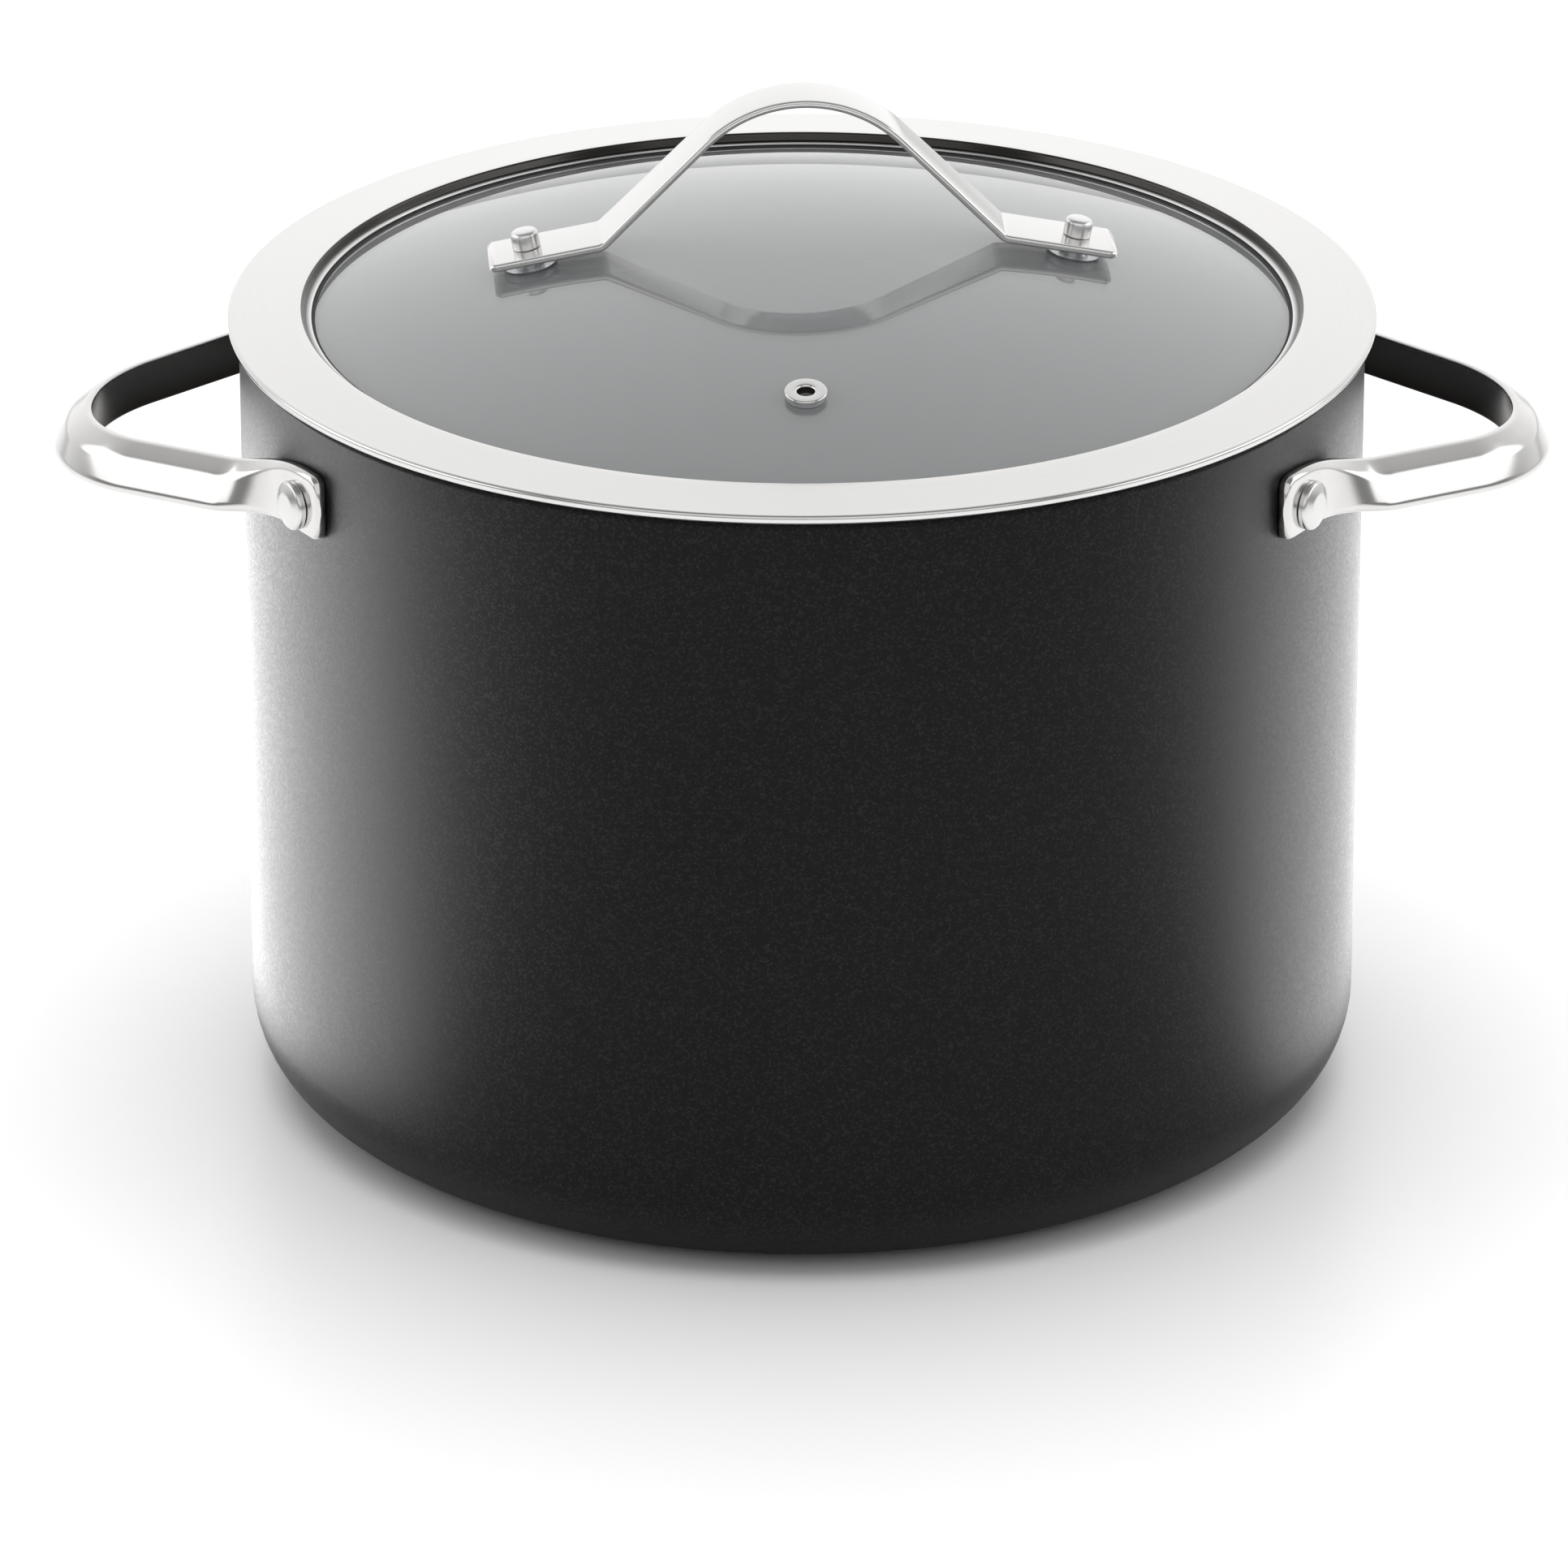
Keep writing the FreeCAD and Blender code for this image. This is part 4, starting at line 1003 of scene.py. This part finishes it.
@dataclass
class Lid:
    """The glass, the steel band round it, and the seal between them."""

    dome: Dome
    glass_edge: float = 130.0 * MM
    sheet: float = 0.9 * MM
    ledge_tip: float = 121.9 * MM
    ledge_root: float = 123.6 * MM
    ledge: float = 202.0 * MM
    hem: float = 141.6 * MM
    hem_round: float = 1.15 * MM
    hem_level: float = 201.65 * MM
    seat: float = 199.8 * MM
    skirt: float = 136.0 * MM
    skirt_low: float = 191.2 * MM
    foot: float = 125.0 * MM

    def build(self) -> None:
        """Make the three rings."""
        self.glass_pane()
        self.band()
        self.seal()

    def glass_pane(self) -> None:
        """Two spheres about one centre, joined by a ground edge."""
        over = self.dome.cap(self.glass_edge - 1.0 * MM, 0.0, 70)
        under = self.dome.cap(self.glass_edge - 1.0 * MM, self.dome.glass, 70)
        middle = (over[-1] + under[-1]) / 2
        rise = np.linspace(0, np.pi, 10)[1:-1]
        half = (over[-1, 1] - under[-1, 1]) / 2
        edge = middle + np.stack([1.0 * MM * np.sin(rise), half * np.cos(rise)], axis=-1)
        skin = turned(np.concatenate([over, edge, under[::-1]]), 256)
        dress(surface("glass_pane", [skin]), Finish.GLASS, "lid", "lid_glass")

    def band(self) -> None:
        """One folded sheet: ledge, crest, slope, hem, seat, skirt and foot."""
        t, crest = self.sheet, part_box("lid_rim")[1].z
        out, low = self.hem + self.hem_round, self.skirt_low
        profile = rounded([
            (self.ledge_tip, self.ledge, 0.3 * MM), (self.ledge_root, self.ledge + 0.2 * MM, 0.3 * MM),
            (124.2 * MM, crest, 0.8 * MM), (self.hem - 0.4 * MM, 202.85 * MM, 1.5 * MM),
            (out, 202.8 * MM, 0.9 * MM), (out, self.hem_level - self.hem_round, 1.1 * MM),
            (self.hem - 0.6 * MM, self.hem_level - self.hem_round, 0.3 * MM),
            (self.hem - self.hem_round, self.seat, 0.3 * MM), (self.skirt, self.seat, 0.7 * MM),
            (self.skirt, low, 0.9 * MM), (self.foot, low, 0.4 * MM), (self.foot, low + t, 0.4 * MM),
            (self.skirt - t, low + t, 0.5 * MM), (self.skirt - t, self.seat + t, 0.3 * MM),
            (self.hem - 0.3 * MM, self.seat + t, 0.2 * MM), (self.hem + 0.2 * MM, self.hem_level, 0.2 * MM),
            (self.hem - 0.3 * MM, 201.9 * MM, 0.2 * MM), (124.9 * MM, crest - t, 0.3 * MM),
            (self.ledge_root + 0.7 * MM, self.ledge - 0.5 * MM, 0.2 * MM),
            (self.ledge_tip, self.ledge - 0.7 * MM, 0.3 * MM)], steps=6)
        band = surface("band", [turned(spread(profile, 2.5 * MM), 288)], close_rows=True)
        spots = spots_of(band)
        reach = np.hypot(spots[:, 0], spots[:, 1])
        # painted shade: darkens the crest's inner wall, standing in for the dark pot seen through the glass
        wall = (np.abs(reach - 124.0 * MM) < 0.75 * MM) & (spots[:, 2] > self.ledge + 0.1 * MM) & \
            (spots[:, 2] < crest - 0.1 * MM)
        carry(band, "unpolished", wall.astype(float))
        dress(band, Finish.BAND, "lid", "lid_rim")

    def seal(self) -> None:
        """A soft ring that wraps the glass's edge and fills the band."""
        edge, low = self.glass_edge + GAP, self.skirt_low + self.sheet + GAP
        over = self.dome.cap(edge, -GAP, 240)
        under = self.dome.cap(edge, self.dome.glass + GAP, 240)
        profile = np.concatenate([
            over[over[:, 0] > 121.3 * MM], under[under[:, 0] > 126.0 * MM][::-1],
            rounded([(126.0 * MM, low), (134.0 * MM, low, 1.0 * MM), (134.0 * MM, self.seat - 1.0 * MM),
                     (self.ledge_root + 0.7 * MM, self.ledge - 0.75 * MM),
                     (self.ledge_tip, self.ledge - 0.75 * MM),
                     (121.25 * MM, self.ledge - 0.5 * MM, 0.1 * MM)], closed=False)])
        skin = turned(profile, 192)
        dress(surface("seal", [skin], close_rows=True), Finish.SILICONE, "lid", "lid_gasket")


@dataclass
class LidHandle:
    """The arched strap with its studs, washers and cap nuts."""

    dome: Dome
    turn: float = math.radians(3.65)
    stud_reach: float = 67.5 * MM
    thick: float = 2.0 * MM
    reach: float = 79.5 * MM
    half_wide: float = 9.0 * MM
    half_waist: float = 7.4 * MM
    waist_reach: float = 51.0 * MM
    end_bow: float = 2.5 * MM
    arch: float = 35.0 * MM
    flank: float = math.radians(45.0)
    bend: float = 3.0 * MM
    washer: float = 2.4 * MM
    washer_reach: float = 6.85 * MM
    lower_washer: float = 1.5 * MM
    shank: float = 2.5 * MM
    bore: float = 2.6 * MM
    head: float = 3.5 * MM
    head_high: float = 4.6 * MM
    nut_deep: float = 3.6 * MM
    nut_cap: float = 3.2 * MM
    nut_half: float = 3.98 * MM
    edge_round: float = 0.98 * MM
    end_round: float = 0.6 * MM

    def centre_line(self, step: float = 0.8 * MM) -> Array:
        """Middle of the strap in its own XZ plane, from one end to the other.

        A pad lies along the glass, a flank rises at its angle, and both touch their arcs: the
        pad's line and the flank's line meet where x sin a + z cos a has each one's distance.

        Args:
            step: distance between points.

        Returns:
            (x, z) points, (n, 2).
        """
        tilt = math.asin(self.stud_reach / self.dome.radius)
        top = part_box("lid_handle")[1].z
        arch_centre = top - self.arch
        radius = self.arch - self.thick / 2
        pad = (self.dome.centre * math.cos(tilt) + self.dome.radius + self.washer + 2 * GAP
               + self.thick / 2)
        lines = np.array([[math.sin(self.flank), math.cos(self.flank)], [math.sin(tilt), math.cos(tilt)]])
        elbow = np.linalg.solve(lines, [radius + arch_centre * math.cos(self.flank), pad])
        tail = np.array([self.reach, (pad - self.reach * math.sin(tilt)) / math.cos(tilt)])
        apex = arch_centre + radius / math.cos(self.flank)
        bends = [tail, (*elbow, self.bend), (0.0, apex, radius), (-elbow[0], elbow[1], self.bend),
                 (-tail[0], tail[1])]
        return spread(rounded(bends, steps=44, closed=False), step, closed=False)

    def strap(self) -> None:
        """The strap: a rounded section carried along the middle line.

        Across the strap, half the width is the pad's half width less a waist that grows as
        the circle sqrt(R^2 - x^2), and its ends bow out by the circle of their own.
        """
        line = self.centre_line()
        tangent = np.gradient(line, axis=0)
        tangent /= np.linalg.norm(tangent, axis=1, keepdims=True)
        normal = np.stack([-tangent[:, 1], tangent[:, 0]], axis=-1)
        normal *= np.sign(normal[:, 1:])
        across = line[:, 0]
        drop = self.half_wide - self.half_waist
        waist = (self.waist_reach ** 2 + drop ** 2) / (2 * drop)
        inside = np.sqrt(np.maximum(waist ** 2 - across ** 2, 0)) - (waist - drop)
        half_width = self.half_wide - np.maximum(inside, 0)
        corners = np.array([[-1, -1], [1, -1], [1, 1], [-1, 1]], float)
        scale = np.stack([half_width, np.full(len(line), self.thick / 2)], axis=-1)[:, None]
        outline = soften(corners * scale, np.full((len(line), 4), self.edge_round), 8)
        shrink = drawn_in(self.reach - np.abs(across), self.end_round)
        outline = outline * (1 - shrink[:, None, None] / np.abs(outline).max(axis=1, keepdims=True))
        bow = (self.half_wide ** 2 + self.end_bow ** 2) / (2 * self.end_bow)
        pull = bow - np.sqrt(bow ** 2 - outline[..., 0] ** 2)
        near_end = smooth(np.abs(across), self.stud_reach, self.reach)[:, None]
        spot = line[:, None] + outline[..., 1:] * normal[:, None]
        spot = spot - tangent[:, None] * (np.sign(across)[:, None] * pull * near_end)[..., None] * \
            np.sign(tangent[:1, None, :1] * across[0])
        skin = np.stack([spot[..., 0], outline[..., 0], spot[..., 1]], axis=-1)
        skin = capped(skin) @ turn_about_z(self.turn).T
        dress(surface("strap", [skin], crease=50.0), Finish.STRAP, "lid", "lid_handle")

    def build(self) -> None:
        """Make the strap, then the same fasteners at both of its ends."""
        self.strap()
        for side in Side:
            self.fasteners(side)

    def fasteners(self, side: Side) -> None:
        """A stud, two washers and a cap nut on one axis, square to the glass."""
        place = self.dome.place(self.stud_reach, self.turn + math.radians(side.value))
        word, bore, wide = side.word, self.bore, self.washer_reach
        seat, top = self.washer + self.thick + 3 * GAP, GAP + self.washer
        under = -self.dome.glass - 2 * GAP
        low = under - self.lower_washer
        nut, crown = low - GAP, seat + self.head_high
        stud = rounded([
            (0, nut - self.nut_deep), (self.shank, nut - self.nut_deep, 0.4 * MM), (self.shank, seat),
            (self.head, seat, 0.3 * MM), (self.head, crown - 0.25 * MM, 1.3 * MM), (1.4 * MM, crown),
            (0, crown)], steps=7, closed=False)
        upper = rounded([(bore, GAP), (wide, GAP, 0.5 * MM), (wide, top, 0.7 * MM), (bore, top)], steps=6)
        lower = rounded([(bore, low), (wide, low, 0.4 * MM), (wide, under, 0.4 * MM), (bore, under)], steps=5)
        for name, profile, finish, node, closed in (
                ("stud", stud, Finish.STUD, "lid_stud", False),
                ("clear_washer", upper, Finish.WASHER, "upper_washer", True),
                ("soft_washer", lower, Finish.SILICONE, "lower_washer", True)):
            skin = moved(turned(profile, 56), place)
            dress(surface(f"{name}_{word}", [skin], close_rows=closed), finish, "lid", f"{node}_{word}")
        dress(surface(f"cap_nut_{word}", [moved(self.nut(nut), place)], crease=25.0),
              Finish.STUD, "lid", f"stud_nut_{word}")

    def nut(self, seat: float) -> Array:
        """A cap nut: its radius is the smaller of the hexagon's and the chamfer's or dome's at each height.

        The hexagon's radius at an angle a is apothem / cos(a folded into 30 degrees each way).

        Args:
            seat: height of the nut's flat face.

        Returns:
            Grid of points, (rows, around, 3).
        """
        apothem = self.nut_half
        angle = np.linspace(0, 2 * np.pi, 96, endpoint=False)
        hexagon = apothem / np.cos((angle + np.pi / 6) % (np.pi / 3) - np.pi / 6)
        round_share = np.linspace(0, np.pi / 2, 9)
        turned_limit = [0.0, 0.92, 1.06, 1.2, 1.2, 1.06, 0.94, 0.9]
        level = [0.0, 0.0, 0.3, 0.55, 3.05, 3.3, 3.6, 3.6]
        limit = np.concatenate([np.array(turned_limit) * apothem, 0.9 * apothem * np.cos(round_share)])
        height = np.concatenate([np.array(level) * MM, self.nut_deep + self.nut_cap * np.sin(round_share)])
        radius = np.minimum(limit[:, None], hexagon[None])
        level_grid = seat - height[:, None] + 0 * angle
        return np.stack([radius * np.cos(angle), radius * np.sin(angle), level_grid], axis=-1)


@dataclass
class Vent:
    """The steam vent: a flanged eyelet clinched through a soft grommet."""

    dome: Dome
    reach: float = 86.5 * MM
    turn: float = math.radians(-89.4)
    lift: float = 1.35 * MM
    lip: float = 1.2 * MM
    flange: float = 0.9 * MM
    reach_out: float = 5.25 * MM
    barrel: float = 3.0 * MM
    bore: float = 2.1 * MM
    curl: float = 4.6 * MM
    grommet: float = 4.9 * MM
    groove: float = 3.9 * MM

    def build(self) -> None:
        """Turn both pieces and stand them on the glass."""
        place = self.dome.place(self.reach, self.turn)
        lift, lip, flange, inside = self.lift, self.lip, self.flange, self.bore
        end = -(self.dome.glass + lip + 0.2 * MM)
        eyelet = rounded([
            (inside, lift + flange, 0.7 * MM), (inside, end - flange, 0.6 * MM),
            (self.curl, end - flange, 0.4 * MM), (self.curl, end, 0.35 * MM), (self.barrel, end),
            (self.barrel, lift), (self.reach_out, lift, 0.3 * MM), (self.reach_out, lift + flange, 0.5 * MM)],
            steps=6)
        low, hole, wide = -(self.dome.glass + 3 * GAP), self.barrel + GAP, self.grommet
        grommet = rounded([
            (hole, low - lip), (wide, low - lip, 0.4 * MM), (wide, low, 0.4 * MM), (self.groove, low),
            (self.groove, GAP), (wide, GAP, 0.3 * MM), (wide, lip, 0.5 * MM), (hole, lip)], steps=5)
        for name, profile, finish, node in (("eyelet", eyelet, Finish.EYELET, "vent_eyelet"),
                                            ("grommet", grommet, Finish.GROMMET, "vent_grommet")):
            skin = moved(turned(profile, 64), place)
            piece = dress(surface(name, [skin], close_rows=True), finish, "lid", node)
            # painted shade: darkens the eyelet's bore below its top rim; the grommet carries the share too,
            # but its finish does not read it
            spots = spots_of(piece) - place[:, 3]
            high = spots @ place[:, 2]
            off = np.linalg.norm(spots - high[:, None] * place[:, 2], axis=1)
            carry(piece, "unpolished", (off < inside + 0.2 * MM) * (high < lift + 0.3 * MM))


# ---------------------------------------------------------------- jar rack

@dataclass
class JarRack:
    """The wire rack: hoop, inner ring, cross wires, legs, eyes and two folding handles.

    LEGS holds the sign of each leg's place across and along.
    """

    LEGS = ((1, 1), (-1, 1), (-1, -1), (1, -1))

    wire: float = 2.0 * MM
    hoop: float = 126.0 * MM
    inner: float = 62.0 * MM
    level: float = 14.0 * MM
    cross: float = 1.6 * MM
    pitch: float = 30.0 * MM
    wires: int = 8
    leg_across: float = 60.0 * MM
    leg_along: float = 85.0 * MM
    leg_half: float = 15.0 * MM
    leg_bend: float = 6.0 * MM
    eye: float = 3.9 * MM
    eye_wire: float = 1.5 * MM
    eye_along: float = 45.0 * MM
    hinge: float = 118.0 * MM
    hinge_level: float = 21.5 * MM
    arm: float = 39.0 * MM
    length: float = 105.0 * MM
    tip: float = 50.0 * MM
    tip_bend: float = 4.0 * MM
    grip_bend: float = 12.0 * MM

    @property
    def deck(self) -> float:
        """Height of the cross wires' centre lines."""
        return self.level + self.wire + GAP + self.cross

    def build(self) -> None:
        """Make every wire of the rack."""
        for name, radius in (("hoop", self.hoop), ("inner_ring", self.inner)):
            loop = circle(radius, 1.7 * MM)
            path = np.concatenate([loop, np.full((len(loop), 1), self.level)], axis=1)
            ring = surface(name, [tube(path, self.wire, closed=True)], close_rows=True)
            dress(ring, Finish.RACK, "rack", f"rack_{name}")
        self.cross_wires()
        self.legs()
        for side in Side:
            self.eyes(side)
            self.bail(side)

    def cross_wires(self) -> None:
        """Parallel wires along Y whose ends lie on the hoop: each is as long as its chord."""
        wires = []
        for index in range(self.wires):
            offset = self.pitch * (index - (self.wires - 1) / 2)
            half = math.sqrt(self.hoop ** 2 - offset ** 2) + 0.6 * self.cross
            run = np.array([[offset, -half, self.deck], [offset, half, self.deck]])
            wires.append(tube(spread(run, 6 * MM, closed=False), self.cross))
        dress(surface("cross_wires", wires), Finish.RACK, "rack", "rack_cross_wires")

    def legs(self) -> None:
        """Four bent wires under the deck, each a U with rounded bends."""
        half, top, bend = self.leg_half, self.deck - self.cross - GAP, self.leg_bend
        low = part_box("rack_feet")[0].z + self.wire
        corners = [(-half, top), (-half, low, bend), (half, low, bend), (half, top)]
        across, up = spread(rounded(corners, 10, closed=False), 2 * MM, closed=False).T
        legs = [tube(np.stack([right * self.leg_across + across, 0 * across + back * self.leg_along, up],
                              axis=-1), self.wire, cap=2) for right, back in self.LEGS]
        dress(surface("legs", legs), Finish.RACK, "rack", "rack_feet")

    def eyes(self, side: Side) -> None:
        """Two small closed rings of wire, square to the hinge line."""
        out, up = circle(self.eye, 0.5 * MM).T
        out, up = out + self.hinge * (1 if side is Side.RIGHT else -1), up + self.hinge_level
        rings = [tube(np.stack([out, 0 * out + end.value * self.eye_along, up], axis=-1), self.eye_wire,
                      closed=True, sides=16) for end in End]
        dress(surface(f"eyes_{side.word}", rings, close_rows=True), Finish.RACK, "rack",
              f"rack_eyes_{side.word}")

    def bail(self, side: Side) -> None:
        """A lifting handle: one wire with its two ends turned out through the eyes."""
        outward = 1 if side is Side.RIGHT else -1
        arm, far, tip_bend, grip_bend = self.arm, -self.length, self.tip_bend, self.grip_bend
        bends = rounded([
            (0, self.tip), (0, arm, tip_bend), (far, arm, grip_bend), (far, -arm, grip_bend),
            (0, -arm, tip_bend), (0, -self.tip)], 12, closed=False)
        bends = spread(bends, 2.5 * MM, closed=False)
        across = outward * self.hinge + bends[:, 0] * outward
        path = np.stack([across, bends[:, 1], self.hinge_level + 0 * across], axis=-1)
        name = f"rack_handle_{side.word}"
        dress(surface(f"bail_{side.word}", [tube(path, self.wire)]), Finish.RACK, name, name)


# ---------------------------------------------------------------- studio

@dataclass(frozen=True)
class SoftBox:
    """A rectangular studio light that looks at a point."""

    name: str
    spot: Tuple[float, float, float]
    size: Pair
    power: float
    aim: Tuple[float, float, float] = (0.0, 0.0, 0.12)
    lit: Tuple[str, ...] = ()

    def build(self) -> None:
        """Hang the light, turn it to its aim, and keep it to the pieces that it is there for."""
        data = bpy.data.lights.new(self.name, "AREA")
        data.shape = "RECTANGLE"
        data.size, data.size_y = self.size
        data.energy = self.power
        light = bpy.data.objects.new(self.name, data)
        light.location = self.spot
        light.rotation_euler = (Vector(self.aim) - Vector(self.spot)).to_track_quat("-Z", "Y").to_euler()
        bpy.context.scene.collection.objects.link(light)
        if self.lit:
            chosen = bpy.data.collections.new(f"{self.name}_pieces")
            for name in self.lit:
                chosen.objects.link(bpy.data.objects[name])
            light.light_linking.receiver_collection = chosen
            light.visible_camera = False


@dataclass
class Studio:
    """A plain pale floor, plain soft light and the camera.

    Each box is given by name, spot, size and watts, then by its aim and the pieces that it lights.
    """

    eye: Tuple[float, float, float] = (0.0, -2.4982, 1.1366)
    pitch: float = 0.40225
    lens: float = 246.03
    shift: Pair = (-0.01154, -0.0008)
    floor_reach: float = 6.0
    floor_tones: Pair = (0.9, 0.885)
    rise: Tuple[float, float, float] = (0.0, 1.0, -0.1)
    brightness: Pair = (0.25, 1.24)
    boxes: Sequence[SoftBox] = (
        SoftBox("left_box", (-1.5, 0.0, 0.88), (1.8, 0.85), 6.0),
        SoftBox("right_box", (1.5, 0.0, 0.88), (1.8, 0.85), 6.0),
        SoftBox("front_box", (0.0, -1.6, 1.25), (3.0, 1.6), 9.5),
        SoftBox("front_sill", (0.0, -2.0, 0.3), (3.0, 0.55), 0.8,
                lit=("handle_casting_left", "handle_casting_right")),
        SoftBox("floor_box", (0.0, 0.2, 2.6), (3.0, 3.0), 68.0, lit=("floor",)),
        SoftBox("left_card", (-0.51, 0.13, 0.002), (0.7, 0.5), 9.0, (-0.51, 0.13, 1.0), ("pot_shell",)),
        SoftBox("right_card", (0.46, 0.17, 0.002), (0.6, 0.46), 4.2, (0.46, 0.17, 1.0), ("pot_shell",)))

    def build(self) -> None:
        """Make the floor, the sky, the lights and the camera."""
        self.floor()
        self.sky()
        for box in self.boxes:
            box.build()
        self.camera()

    def floor(self) -> None:
        """A wide flat sheet under the pot, smooth and nearly white."""
        reach = self.floor_reach
        mesh = bpy.data.meshes.new("floor")
        mesh.from_pydata([(x * reach, y * reach, 0.0) for x, y in ((-1, -1), (1, -1), (1, 1), (-1, 1))],
                         [], [(0, 1, 2, 3)])
        floor = bpy.data.objects.new("floor", mesh)
        bpy.context.scene.collection.objects.link(floor)
        graph = Graph("pale_floor")
        drift = graph.noise(3.0, 2.0)
        tone = graph.mix(drift, *([part] * 3 for part in self.floor_tones))
        mesh.materials.append(graph.finish(Base_Color=tone, Roughness=drift * 0.05 + 0.35))
        floor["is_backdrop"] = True

    def sky(self) -> None:
        """A surround that is white at the horizon behind, and dark overhead and in front.

        Its brightness grows with the part of a direction that lies along the rise.
        """
        world = bpy.data.worlds.new("surround")
        world.use_nodes = True
        nodes, links = world.node_tree.nodes, world.node_tree.links
        place, rise = nodes.new("ShaderNodeTexCoord"), nodes.new("ShaderNodeVectorMath")
        rise.operation = "DOT_PRODUCT"
        rise.inputs[1].default_value = self.rise
        fade = nodes.new("ShaderNodeMapRange")
        for index, value in enumerate((0.0, 1.0, *self.brightness), start=1):
            fade.inputs[index].default_value = value
        links.new(place.outputs["Generated"], rise.inputs[0])
        links.new(rise.outputs["Value"], fade.inputs[0])
        links.new(fade.outputs[0], nodes["Background"].inputs["Strength"])
        nodes["Background"].inputs["Color"].default_value = (1.0, 1.0, 1.0, 1.0)
        bpy.context.scene.world = world
        bpy.context.scene.view_settings.view_transform = "Standard"

    def camera(self) -> None:
        """The camera looks along +Y and down by its pitch."""
        data = bpy.data.cameras.new("camera")
        data.lens, data.sensor_width = self.lens, 36.0
        data.shift_x, data.shift_y = self.shift
        data.clip_end = 50.0
        camera = bpy.data.objects.new("camera", data)
        camera.location = self.eye
        camera.rotation_euler = (math.pi / 2 - self.pitch, 0.0, 0.0)
        bpy.context.scene.collection.objects.link(camera)
        bpy.context.scene.camera = camera


def corners(bounds: Tuple[Vector, Vector]) -> List[List[float]]:
    """The two corners of a box as plain lists."""
    return [list(corner) for corner in bounds]


def main() -> None:
    """Load the frame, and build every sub-assembly round it."""
    logging.basicConfig(level=logging.INFO, format="%(name)s: %(message)s")
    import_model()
    cad_box = corners(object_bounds())
    Pot().build()
    for side in Side:
        SideHandle(side).build()
    dome = Dome()
    Lid(dome).build()
    LidHandle(dome).build()
    Vent(dome).build()
    JarRack().build()
    Studio().build()
    {"cad": cad_box, "visual": corners(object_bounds())}


if __name__ == "__main__":
    main()
